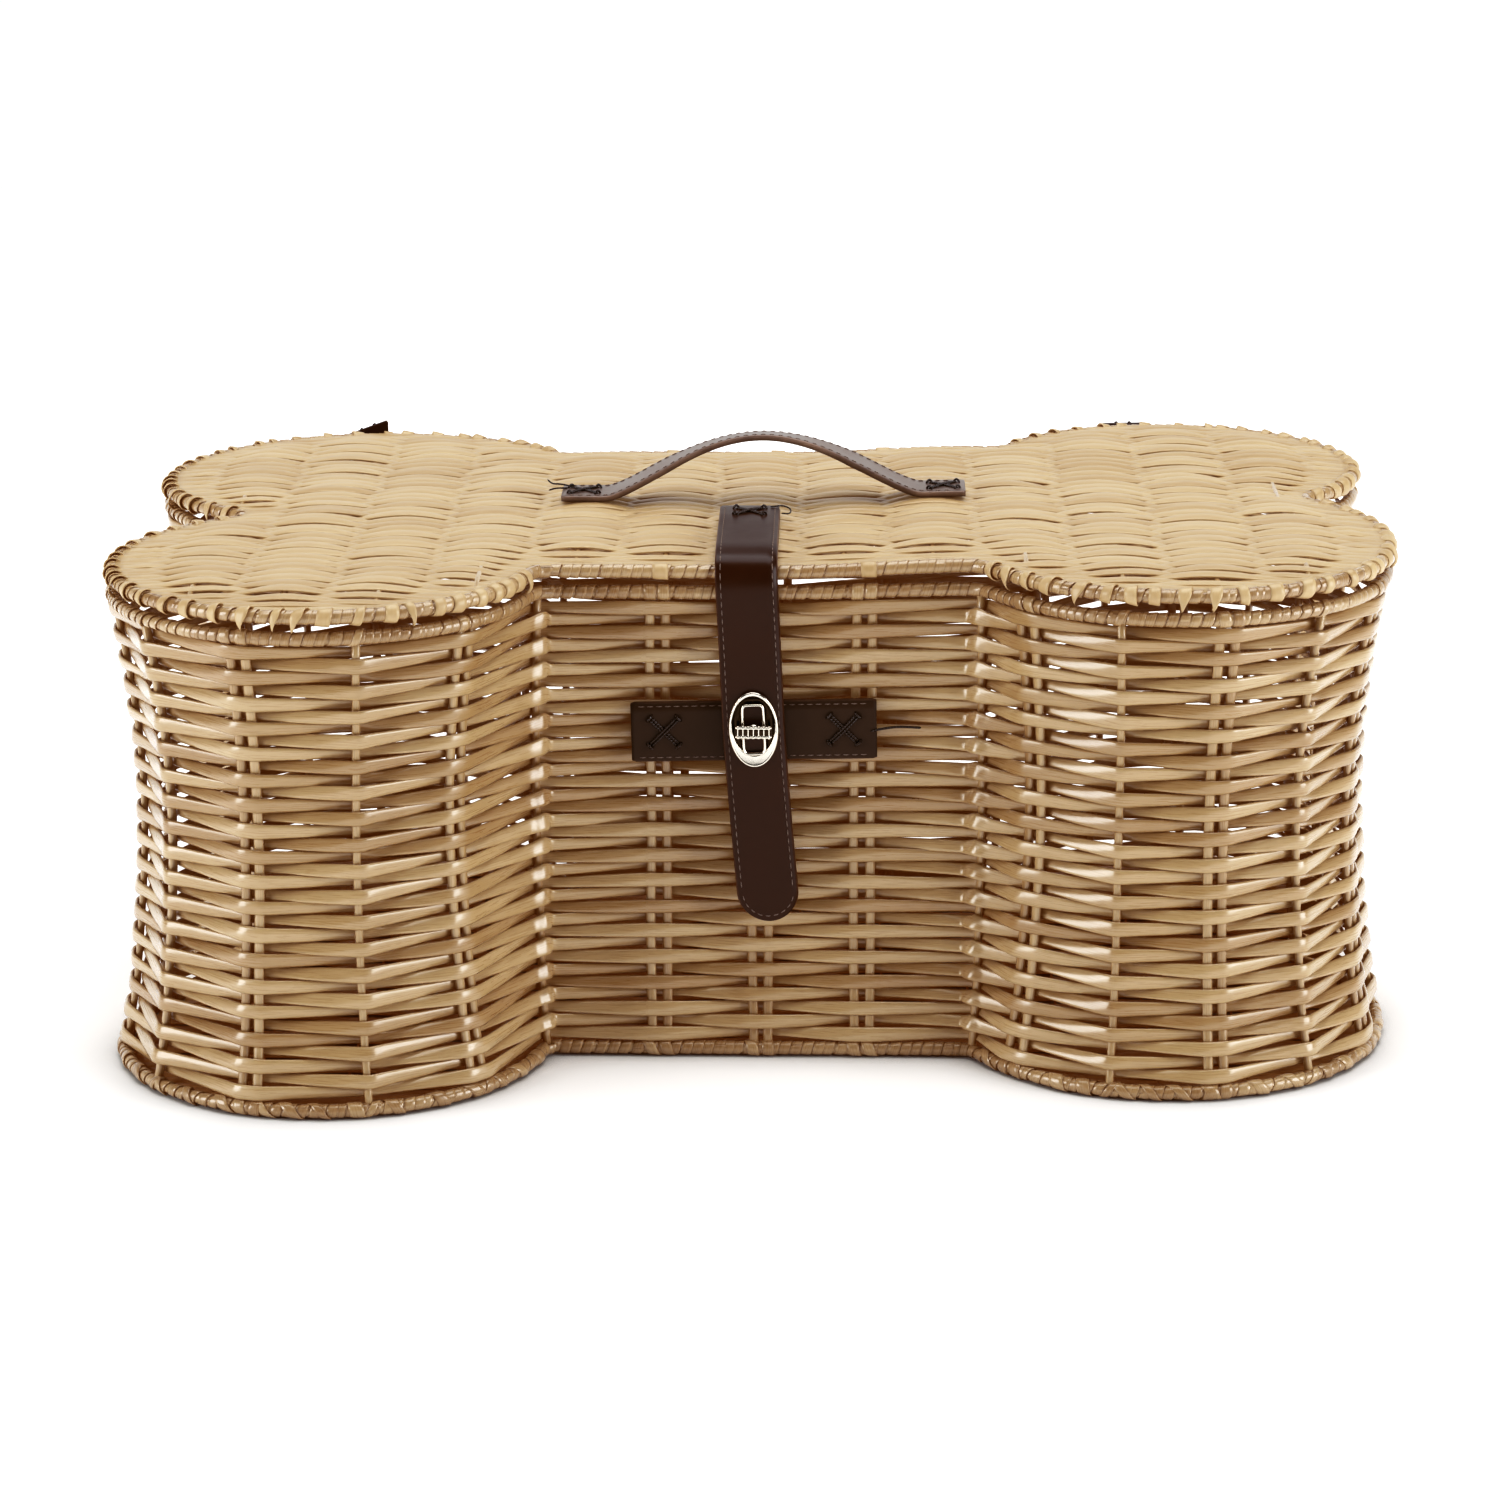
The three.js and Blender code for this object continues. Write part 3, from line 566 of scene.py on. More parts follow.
dark_thread = thread_material("dark_thread", (0.030, 0.018, 0.012), 0.24)
edge_thread = thread_material("edge_thread", (0.26, 0.19, 0.15), 0.45)
nickel = nickel_material("nickel", (0.86, 0.80, 0.71), 0.16)
# A near-black copy of the nickel: painted shade for the eyelet's sunk field and for the knob's bar behind
# its rods.
painted_shade_nickel = nickel_material("painted_shade_nickel", (0.045, 0.032, 0.022), 0.24)

# ---- the woven wall

COURSES = 35
COURSE_PITCH = (WALL_TOP - WALL_BOTTOM) / COURSES
WALL_MIDDLE = 3.4  # from the wall's outer face to the line of the uprights

# An upright is a pair of flat strips, a round rod, or the rod that stands in a corner.
STAKE_SHIFTS = {"double": (-3.2, 3.2), "single": (0.0,), "corner": (0.0,)}
STAKE_HALF_WIDTH = {"double": 2.0, "single": 1.6, "corner": 1.6}
STAKE_HALF_THICKNESS = {"double": 1.4, "single": 1.7, "corner": 1.5}

# Where a strand bends as it passes an upright: distances along the wall, and how far in or out it swings.
BENDS = {"double": (-4.4, 4.4), "single": (-0.8, 0.8), "corner": (-1.4, 1.4)}
SWING = {"double": 2.5, "single": 3.1, "corner": 2.4}
FOLD_REACH = 2.3  # how far a strand stands out where it is folded round a corner's upright
FOLD_BACK = 2.2  # from the fold to where the strand is back in the wall
FOLD_LIFT = 1.3  # how much higher it is at the fold
FOLD_LEAN = 0.35  # radians that a strand leans at the fold, and as it comes out from an upright or goes in
COMING_OUT_LEAN = 0.85
GOING_IN_LEAN = 0.18
BEND_WINDOW = 3  # millimetres over which a bend is rounded
STRAND_STEP = 2
CANE_HALF_HEIGHT = 2.55
CANE_HALF_THICKNESS = 0.95


def rounded(values, window):
    """A running mean, twice over, of values on a closed line."""
    for _ in range(2):
        total = sum(np.roll(values, shift, axis=0) for shift in range(-(window // 2), window // 2 + 1))
        values = total / (2 * (window // 2) + 1)
    return values


def bends_at(s, kind, outside):
    """A strand's bends at one upright, as (distance, swing outward, how folded it is)."""
    swing = outside * SWING[kind] * chance.uniform(0.92, 1.08)
    waist = bone.waist_side(s) if kind == "corner" else 0
    if waist and outside > 0:
        tip = FOLD_REACH * chance.uniform(0.8, 1.2)
        fold = [(s - 4.5 * waist, swing, 0.2), (s + 0.3 * waist, swing + tip, 1.0),
                (s + (0.3 + FOLD_BACK) * waist, 0.3 * swing, 0.0)]
        return fold[::waist]
    return [(s + shift, swing, 0.0) for shift in BENDS[kind]]


def course_line(k, z):
    """One course seen from above: straight from upright to upright, outside one and inside the next.
    Returns its points, how far it swings out (1) or in (-1), and how near it is to a corner's fold."""
    bends = []
    for i, (s, kind) in enumerate(bone.stakes):
        bends += bends_at(s, kind, 1 if (i + k) % 2 == 0 else -1)
    places, swings, folds = np.array(bends).T
    inset = wall_inset(z, bone.hollow_share(places)) + WALL_MIDDLE - swings
    corners, _ = bone.at(places, inset, z)
    gone = distances(np.append(corners, corners[:1], axis=0))
    even = np.arange(int(gone[-1])) * gone[-1] / int(gone[-1])
    columns = [*corners[:, :2].T, swings / SWING["double"], folds]
    line = np.stack([np.interp(even, gone, np.append(v, v[0])) for v in columns], axis=1)
    line = rounded(line, BEND_WINDOW)[::STRAND_STEP]
    return line[:, :2], np.clip(line[:, 2], -1, 1), line[:, 3]


def wall_course(pile, k):
    """One course of flat cane. It is narrow and turned up where it comes out from behind an upright,
    and broad and flat where it passes outside the next."""
    level = WALL_BOTTOM + (k + 0.5) * COURSE_PITCH
    plan, wave, fold = course_line(k, level)
    count = len(plan)
    z = level + slow_noise(count, 27, 0.30) + 0.25 * wave + FOLD_LIFT * fold
    z = np.clip(z, WALL_BOTTOM + 1.8, WALL_TOP - 1.8)
    path = np.column_stack([plan, z])
    along = unit(np.roll(plan, -1, axis=0) - np.roll(plan, 1, axis=0))
    out = np.column_stack([along[:, 1], -along[:, 0], np.zeros(count)])
    slope = float(wall_inset(level + 1) - wall_inset(level - 1)) / 2
    rise = np.gradient(rounded(wave, 5)) / (STRAND_STEP * 0.07)
    coming_out = smooth_step(rise) * (0.6 - 0.4 * wave)
    going_in = smooth_step(-rise)
    lean = slow_noise(count, 33, 0.07) - math.atan(slope)
    lean = lean - COMING_OUT_LEAN * coming_out + GOING_IN_LEAN * going_in
    lean -= FOLD_LEAN * smooth_step(fold * 2)
    rise_share, out_share = np.cos(lean)[:, None], np.sin(lean)[:, None]
    across = UP[None, :] * rise_share + out * out_share
    through = out * rise_share - UP[None, :] * out_share
    half_height = CANE_HALF_HEIGHT + 0.45 * wave + 0.6 * fold + slow_noise(count, 45, 0.10)
    pile.strand(path, across, through, half_height, CANE_HALF_THICKNESS - 0.12 * wave**2, closed=True)


def add_wall():
    thirds = {"low": range(12), "middle": range(12, 24), "high": range(24, COURSES)}
    for name, courses in thirds.items():
        pile = Pile()
        for k in courses:
            wall_course(pile, k)
        pile.weave(f"wall_weave_{name}", wall_cane, "basket_body", "side_weave")


def add_stakes():
    """The uprights, turned out to the rings at both ends."""
    pile = Pile()
    heights = np.concatenate([[RIM_RADIUS], np.linspace(9, 182, 40), [BODY_RIM_Z - 0.5]])
    for s, kind in bone.stakes:
        lean = chance.normal(0, 0.5)
        share = bone.hollow_share([s])[0]
        for shift in STAKE_SHIFTS[kind]:
            inset = wall_inset(heights, share) + WALL_MIDDLE
            inset[0] = wall_inset(0) + RIM_RADIUS
            inset[-1] = RIM_RADIUS
            wander = lean * np.sin(heights / BODY_RIM_Z * math.pi) + slow_noise(len(heights), 12, 0.2)
            path, out = bone.at(np.full(len(heights), s + shift) + wander, inset, heights)
            along = unit(np.gradient(path, axis=0))
            across = unit(np.cross(along, out))
            pile.strand(path, across, np.cross(across, along), STAKE_HALF_WIDTH[kind],
                        STAKE_HALF_THICKNESS[kind], sides=8)
    pile.weave("wall_uprights", wall_cane, "basket_body", "body_wire_frame")


# ---- wound rims

BODY_RING = (RIM_RADIUS, BODY_RIM_Z + 1.6)
FOOT_RING = (float(wall_inset(0)) + RIM_RADIUS, RIM_RADIUS)
LID_RING = (RIM_RADIUS, LID_RIM_Z)
CORE_RADIUS = 2.3
WINDING_RADIUS = 2.25
LOOP_RADIUS = 2.6
TURN_ROWS = 14  # rows of points in one turn of the winding
TURNS_PER_LENGTH = 7


def band(pile, ring, s, angle, width, radius, thickness, lift):
    """A flat band laid round a ring's tube. One edge is lifted, so that it laps over the band before."""
    offsets = np.array([-0.5, -0.46, -0.2, 0.2, 0.46, 0.5, 0.46, -0.46])
    heights = np.array([0.4, 0.92, 1.0, 1.0, 0.92, 0.4, 0.0, 0.0])
    rows = len(s)
    points = np.empty((rows, len(offsets), 3))
    for i, (offset, height) in enumerate(zip(offsets, heights)):
        out = radius + thickness * height + lift * (offset + 0.5)
        inset, z = ring[0] - out * np.cos(angle), ring[1] + out * np.sin(angle)
        points[:, i], _ = bone.at(s + width * offset, inset, z)
    fibre = np.empty(points.shape)
    fibre[:, :, 0] = (np.arange(rows) * 1.3 * MM)[:, None]
    fibre[:, :, 1] = offsets * 2
    fibre[:, :, 2] = chance.random()
    pile.grid(points, fibre, False)


def wound_ring(ring, pitch, width):
    """A pile with a ring's core and the fine cane wound round it, in lengths that each take a few turns."""
    pile = Pile()
    path, out = bone.at(bone.s, *ring)
    pile.strand(path, out, fixed(path, *UP), CORE_RADIUS, CORE_RADIUS, closed=True, squareness=1.0)
    turns = int(bone.length / pitch)
    drift = np.cumsum(chance.normal(0, 0.22, turns + 2))
    drift -= np.linspace(0, drift[-1], turns + 2)
    for first in range(0, turns, TURNS_PER_LENGTH):
        last = min(first + TURNS_PER_LENGTH, turns)
        turn = np.arange(first * TURN_ROWS, last * TURN_ROWS + 3) / TURN_ROWS
        s = (turn + np.interp(turn, np.arange(turns + 2), drift)) * pitch
        lift = 0.28 + 0.10 * chance.random()
        widths = width * (0.92 + 0.16 * chance.random())
        band(pile, ring, s, 2 * math.pi * turn, widths, WINDING_RADIUS, 0.32, lift)
    return pile


def loop(pile, ring, s, start, end, width, slant, lift, thickness=0.55, tip=0.0, stand=0.0,
         radius=LOOP_RADIUS):
    """One wide strand end laid over a ring, from one angle to another in degrees."""
    rows = max(8, int(abs(end - start) / 16))
    share = np.linspace(0, 1, rows)
    angle = np.radians(start + (end - start) * share)
    widths = width * (1 - tip * smooth_step((share - 0.55) / 0.45)) + 0.25
    reach = radius + stand * smooth_step((share - 0.6) / 0.4)
    band(pile, ring, s + slant * (share - 0.5), angle, widths, reach, thickness, lift)


def add_body_rims():
    top = wound_ring(BODY_RING, 4.3, 4.5)
    for s, kind in bone.stakes:
        if kind == "double":
            for shift in (-2.9, 2.9):
                place = s + shift + chance.normal(0, 0.4)
                loop(top, BODY_RING, place, -120, 170, 4.4, chance.normal(0, 1.2), 0.2)
        elif kind == "single":
            loop(top, BODY_RING, s, -110, 150, 3.0, 5.0, 0.2)
    top.weave("body_rim_binding", rim_cane, "basket_body", "top_rim_binding")

    foot = wound_ring(FOOT_RING, 4.6, 4.6)
    for s, kind in bone.stakes:
        if kind == "double":
            for shift in (-3.2, 3.0):
                loop(foot, FOOT_RING, s + shift, 120, -110, 4.4, chance.normal(1.5, 2.0), 0.2, 0.5)
        elif kind == "single":
            loop(foot, FOOT_RING, s, 110, -100, 3.0, -6.0, 0.2, 0.5)
    for low, high in bone.lobe_spans:
        s = low + 8
        while s < high - 6:
            loop(foot, FOOT_RING, s, 150, -70, chance.uniform(3.4, 6.0), chance.uniform(2, 9), 0.3, 0.5,
                 radius=2.55)
            s += chance.uniform(11, 20)
    foot.weave("foot_rim_binding", rim_cane, "basket_body", "bottom_rim_binding")


def add_lid_rim():
    wound_ring(LID_RING, 4.5, 4.7).weave("lid_rim_binding_wound", rim_cane, "lid", "lid_rim_binding")
    pile = Pile()
    for low, high in bone.lobe_spans:
        s = low + 3
        while s < high - 3:
            end, tip, stand = (-75, 0.95, 2.2) if chance.random() < 0.2 else (-170, 0.0, 0.0)
            loop(pile, LID_RING, s, 155, end, chance.uniform(3.0, 5.6), chance.uniform(-6, 4),
                 chance.uniform(0.5, 1.1), 0.6, tip, stand)
            s += chance.uniform(7.5, 15)
    for s, kind in bone.stakes:
        if kind == "double" and not any(low < s < high for low, high in bone.lobe_spans):
            loop(pile, LID_RING, s + 1.5, 160, -170, 5.8, 0.8, 0.25)
    pile.weave("lid_rim_loops", lid_cane, "lid", "lid_rim_binding")


# ---- lid and base weave

LID_PITCH = 4.2
LID_MIDDLE_Z = 203.2
LID_SWING = 1.9
ROW_HALF_THICKNESS = 0.62
ROW_STEP = 4.4  # between the points of a row
ROW_END_REACH = 14  # a row comes down to the rim over this length at its ends
EDGE_REACH = 28  # and near the front and back edges over this width
WIRE_SPACING = 36


def edge_share(x, y, inset):
    """0 at the outline's edge, and 1 from a little way inside it."""
    edge = np.stack([bone.x - bone.nx * inset, bone.y - bone.ny * inset], axis=1)
    apart = np.hypot(x[:, None] - edge[None, :, 0], y - edge[None, :, 1]).min(axis=1)
    return 0.1 + 0.9 * smooth_step(apart / EDGE_REACH)


def woven_rows(pile, pitch, middle, swing, wires, inset, half_widths, end_z, tilt, unevenness):
    """Strands that run left to right, over and under the wires that run front to back."""
    low = min(lobe[1] - lobe[2] for lobe in LOBES.values()) + inset
    high = max(lobe[1] + lobe[2] for lobe in LOBES.values()) - inset
    for j in range(int((high - low - pitch) / pitch) + 1):
        y = low + pitch * (j + 0.75 + chance.normal(0, unevenness / 4))
        row_swing = swing * (1 + chance.uniform(-1, 1) * unevenness)
        for left, right in bone.crossings(1, y, inset):
            if right - left < 10:
                continue
            count = int((right - left) / ROW_STEP) + 4
            x = np.linspace(left, right, count)
            marks = [wires[0] - WIRE_SPACING, *wires, wires[-1] + WIRE_SPACING]
            phase = np.interp(x, marks, np.arange(-1, len(wires) + 1))
            wave = np.cos(math.pi * (phase + slow_noise(count, 12, 0.03))) * (1 if j % 2 == 0 else -1)
            inner = smooth_step(np.minimum(x - left, right - x) / ROW_END_REACH)
            inner = inner * edge_share(x, y, inset)
            wobble = slow_noise(count, 9, 0.14)
            z = end_z + (middle + row_swing * wave - end_z) * inner + wobble * inner
            path = np.stack([x, np.full(count, y) + slow_noise(count, 10, 0.16), z], axis=1)
            lean = tilt + slow_noise(count, 12, 0.03)
            across = np.stack([np.zeros(count), np.cos(lean), np.sin(lean)], axis=1)
            through = unit(np.cross(unit(np.gradient(path, axis=0)), across))
            width = half_widths[0] + (half_widths[1] - half_widths[0]) * np.clip(wave, -0.2, 1) * inner
            pile.strand(path, across, through, width, ROW_HALF_THICKNESS)


def wire_runs(pile, wires, inset, z, radius, dip=0.0):
    """Straight rods from front to back, which may dip at their ends to go under the edge of the weave."""
    for x in wires:
        for front, back in bone.crossings(0, x, inset):
            y = np.linspace(front, back, max(9, int((back - front) / 6)))
            from_end = np.minimum(y - front, back - y)
            path = np.stack([np.full_like(y, x), y, z - dip * (1 - smooth_step(from_end / 22))], axis=1)
            pile.strand(path, fixed(path, 1.0, 0.0, 0.0), fixed(path, *UP), radius, radius, sides=8,
                        squareness=1.0)


def add_lid_weave():
    pile = Pile()
    woven_rows(pile, LID_PITCH, LID_MIDDLE_Z, LID_SWING, LID_WIRE_X, 4.4, (2.6, 3.9), 202.0, 0.09, 0.28)
    for inset, z in ((5.4, 201.7), (8.6, 201.5), (11.8, 201.2)):
        path, out = bone.at(bone.s, inset, z)
        pile.strand(path, out, fixed(path, *UP), 1.75, 0.45, closed=True, sides=8)
    pile.weave("lid_weave_rows", lid_cane, "lid", "lid_weave")
    rods = Pile()
    wire_runs(rods, LID_WIRE_X, RIM_RADIUS, LID_MIDDLE_Z, 1.2, 2.9)
    rods.weave("lid_uprights", wall_cane, "lid", "lid_wire_frame")


def add_base():
    pile = Pile()
    wires = [x - 18 for x in LID_WIRE_X[1:]]
    woven_rows(pile, 5.6, 2.0, 1.0, wires, FOOT_RING[0] + 3.4, (2.75, 3.3), 2.0, 0.04, 0.0)
    wire_runs(pile, wires, FOOT_RING[0] + 2.0, 2.0, 0.55)
    pile.weave("base_weave_rows", base_cane, "basket_body", "base_weave", "wicker_base")


# ---- leather straps


def rounded_path(points, step, rounds=3):
    """A smooth line near these points, spaced evenly."""
    line = np.array(points, float)
    for _ in range(rounds):
        cut = np.empty((2 * len(line) - 2, line.shape[1]))
        cut[0::2] = 0.75 * line[:-1] + 0.25 * line[1:]
        cut[1::2] = 0.25 * line[:-1] + 0.75 * line[1:]
        line = np.concatenate([line[:1], cut, line[-1:]])
    gone = distances(line)
    return sampled(line, gone, np.linspace(0, gone[-1], max(3, int(gone[-1] / step) + 1)))


def facing(path, across, outward):
    """A strap's width direction and the one out of its face, turned so that its first face looks outward."""
    face = unit(np.cross(across, unit(np.gradient(path, axis=0))))
    side = 1.0 if face[0] @ np.array(outward) > 0 else -1.0
    return across * side, face * side


def strap(pile, path, across, face, width, thickness, ends=(0.6, 0.6)):
    """A leather strap along a path. ends gives how far each end is rounded in plan."""
    gone = distances(path)
    half = width / 2
    share = np.ones(len(path))
    for distance, radius in ((gone, ends[0]), (gone[-1] - gone, ends[1])):
        inside = np.clip(1 - distance / radius, 0, 1)
        share = np.minimum(share, 1 - (radius / half) * (1 - np.sqrt(1 - inside**2)))
    section = slab_section(half, thickness / 2, 0.55)
    section[:, 1] *= 1 - 0.06 * (np.abs(section[:, 0]) / half) ** 4
    pile.strand(path, across, face, np.maximum(share, 0.02), 1.0, section=section)


def with_tip(path, radius):
    """Adds closely spaced points near a path's end, so that a round tip has a smooth outline."""
    gone = distances(path)
    finish = gone[-1]
    body = gone[gone < finish - radius]
    turn = finish - radius + radius * np.sin(np.linspace(0, math.pi / 2, 16))
    return sampled(path, gone, np.concatenate([body, turn]))


def thread_run(pile, points, normal, radius):
    """A short length of thread through these points."""
    path = rounded_path(points, 0.7, 2)
    along = unit(np.gradient(path, axis=0))
    across = unit(np.cross(along, fixed(path, *normal)))
    size = np.full(len(path), radius)
    size[[0, -1]] *= 0.4
    pile.strand(path, across, np.cross(across, along), size, size, sides=6, squareness=1.0)


# A cross's corner knot: how far along and how high its thread goes.
KNOT_PROFILE = [(-1, -0.5), (-0.5, 0.7), (0, 1.1), (0.5, 0.7), (1, -0.5)]


def cross_stitch(pile, centre, first, second, span, radius=0.6):
    """A sewn cross of doubled thread, lying on a face spanned by two directions."""
    centre, first, second = (np.array(v, float) for v in (centre, first, second))
    normal = np.cross(first, second)
    half = span / 2
    for level, b in enumerate((1, -1)):
        direction = (first + second * b) / math.sqrt(2)
        aside = np.cross(normal, direction)
        for shift in (-radius, radius):
            start = centre - direction * half + aside * shift
            end = centre + direction * half + aside * shift
            middle = centre + aside * shift + normal * (0.15 + 0.55 * (1 - level))
            thread_run(pile, [start - normal * 0.9, start + normal * 0.1, middle, end + normal * 0.1,
                              end - normal * 0.9], normal, radius)
    for a, b in ((1, 1), (1, -1), (-1, 1), (-1, -1)):
        corner = centre + (first * a + second * b) / math.sqrt(2) * (half + 0.3)
        side = (second * b - first * a) * 1.3
        knot = [corner + side * share + normal * rise for share, rise in KNOT_PROFILE]
        thread_run(pile, knot, normal, radius * 1.1)


# Machine stitching along the edges of the leather.
STITCH_PITCH = 3.5
STITCH_LENGTH = 2.5
STITCH_RADIUS = 0.24
STITCH_FREE_END = 3.0
STITCH_RISES = (-0.12, 0.16, -0.12)  # a stitch dips into the leather at both ends


def edge_stitches(pile, path, across, face, width, thickness, inset):
    """Two lines of small stitches along a strap's edges."""
    gone = distances(path)
    for side in (-1, 1):
        place = STITCH_FREE_END
        while place + STITCH_LENGTH < gone[-1] - STITCH_FREE_END:
            at = np.linspace(place, place + STITCH_LENGTH, 3)
            p, a, f = (sampled(v, gone, at) for v in (path, across, face))
            rise = np.array([thickness / 2 + r for r in STITCH_RISES])[:, None]
            thread_run(pile, p + a * side * (width / 2 - inset) + f * rise, f[1], STITCH_RADIUS)
            place += STITCH_PITCH


def lay_strap(name, stitching, path, across, outward, size, inset, material, body, replaced, bent=None):
    """A strap and the line of stitches along each of its edges. size is its width and its thickness."""
    across, face = facing(path, across, outward)
    pile = Pile()
    strap(pile, path, across, face, *size)
    pile.make(name, material, body, replaced, bent)
    edge = Pile()
    edge_stitches(edge, path, across, face, *size, inset)
    edge.make(stitching, edge_thread, body, bent=bent)


def sew(name, body, node, cross, tails=(), bent=None):
    """A sewn cross, and any loose tails of thread beside it."""
    pile = Pile()
    cross_stitch(pile, *cross)
    for tail in tails:
        thread_run(pile, *tail)
    pile.make(name, dark_thread, body, [node], bent)


HANDLE_HALF_LENGTH = 83.0
HANDLE_FOOT = 18.0
HANDLE_WIDTH = 22.0
HANDLE_RISE = 24.5
HANDLE_BELL = 1.5
HANDLE_ROLL = math.radians(8)  # at the top of the arch, the front edge is higher
HANDLE_X = 2.0


def add_handle():
    centre = LEATHER_ON_LID_Z + LEATHER / 2
    arch = HANDLE_HALF_LENGTH - HANDLE_FOOT
    share = np.linspace(-1, 1, 61)
    rise = HANDLE_RISE * (1 - share**2) ** HANDLE_BELL
    ends = [[-HANDLE_HALF_LENGTH, centre], [-HANDLE_HALF_LENGTH + HANDLE_FOOT / 2, centre]]
    line = ends + [[arch * a, centre + b] for a, b in zip(share, rise)] + [[-x, z] for x, z in ends[::-1]]
    flat = rounded_path(line, 1.6, 1)
    path = np.stack([flat[:, 0] + HANDLE_X, np.zeros(len(flat)), flat[:, 1]], axis=1)
    path[:, 1] += 0.5 * np.sin(path[:, 0] / 23)  # a slight waver
    roll = HANDLE_ROLL * np.clip(1 - (1.7 * path[:, 0] / arch) ** 2, 0, 1)
    across = unit(np.stack([np.zeros(len(path)), -np.cos(roll), np.sin(roll)], axis=1))
    lay_strap("carrying_handle", "handle_edge_stitching", path, across, UP, (HANDLE_WIDTH, LEATHER), 2.0,
              handle_leather, "lid", ["handle_strap"], bent_lid)

    for name, side in (("left", -1), ("right", 1)):
        x = HANDLE_X + side * (HANDLE_HALF_LENGTH - HANDLE_FOOT / 2)
        end = x - HANDLE_FOOT / 2
        top = LEATHER_ON_LID_Z + 1.0
        tails = [([(x - 5, 5, top + 1.9), (end - 1, 7, top + 2.6), (end - 5, 9, top + 2.2),
                   (end - 7, 12, top + 3.4)], UP, 0.35),
                 ([(end + 2, 3, top + 1.8), (end - 3, 2, top + 2.0), (end - 6, 4, top + 0.6)], UP, 0.35)]
        cross = ((x, 0, LEATHER_ON_LID_Z + LEATHER + 0.2), (1, 0, 0), (0, 1, 0), 15.5, 0.42)
        sew(f"handle_cross_{name}", "lid", f"handle_stitch_{name}", cross, tails if side < 0 else (),
            bent_lid)


HINGE = {"y": 155.3, "z": 195.0, "width": 19.0, "thickness": 2.4, "lid_end": 206.5, "body_end": 150.0}
HINGE_X = {"left": -178.0, "right": 159.5}
HINGE_SLANT = {"left": 7.0, "right": 0.3}  # how much lower the upper end is on its left
STITCH_HEIGHT = 0.8


def add_hinge(side):
    """One strap behind both rims: sewn to the wall below, and to the lid's rim above."""
    x = HINGE_X[side]
    rear = LOBES["back_left"][1] + LOBES["back_left"][2]
    thickness = HINGE["thickness"]
    middle = HINGE["y"] - 2 * GAP - STITCH_HEIGHT - thickness / 2

    def clear_of_wall(z):
        return [rear - float(wall_inset(z)) + 2 * GAP + thickness / 2, z]

    line = [clear_of_wall(HINGE["body_end"]), clear_of_wall(162), clear_of_wall(175), [middle, 185.5],
            [middle, 190], [middle, HINGE["z"]], [middle, 201], [middle, HINGE["lid_end"]]]
    flat = rounded_path(line, 1.0, 2)
    path = np.stack([np.full(len(flat), x), flat[:, 0], flat[:, 1]], axis=1)
    crossing = ("basket_body", "lid", (x, middle, HINGE["z"] - 7), (x, middle, HINGE["z"] + 7))

    def slanted(points):
        """Cuts the upper end at a slant."""
        left_share = (x + HINGE["width"] / 2 - points[:, 0]) / HINGE["width"]
        upper = smooth_step((points[:, 2] - HINGE["z"] + 3) / (HINGE["lid_end"] - HINGE["z"] + 3))
        points[:, 2] -= (HINGE_SLANT[side] * left_share + 1.2) * upper
        return points

    lay_strap(f"hinge_strap_{side}", f"hinge_edge_stitching_{side}", path, fixed(path, 1.0, 0.0, 0.0),
              (0, 1, 0), (HINGE["width"], thickness), 1.9, brown_leather, crossing,
              [f"hinge_strap_{side}_body", f"hinge_strap_{side}_lid"], slanted)
    top = (x, middle + thickness / 2 + 0.2, (HINGE["z"] + HINGE["lid_end"]) / 2 + 1.0)
    sew(f"hinge_cross_{side}_lid", "lid", f"hinge_stitch_{side}_lid", (top, (-1, 0, 0), (0, 0, 1), 10),
        bent=slanted)
    low, high = clear_of_wall(HINGE["body_end"]), clear_of_wall(162)
    lean = math.atan2(high[0] - low[0], high[1] - low[1])
    up = (0, math.sin(lean), math.cos(lean))
    centre = (x, (low[0] + high[0]) / 2 + thickness / 2 + 0.3, (low[1] + high[1]) / 2 + 2)
    sew(f"hinge_cross_{side}_body", "basket_body", f"hinge_stitch_{side}_body", (centre, (-1, 0, 0), up, 14))


STRAP = {"width": 24.5, "back_y": -26.0, "tip_z": 58.2, "face_y": -108.0, "slant": math.radians(2.7)}
STRAP_SWING = 2.9  # how far the free end swings to the right below the lock
LOCK_Z = 138.0


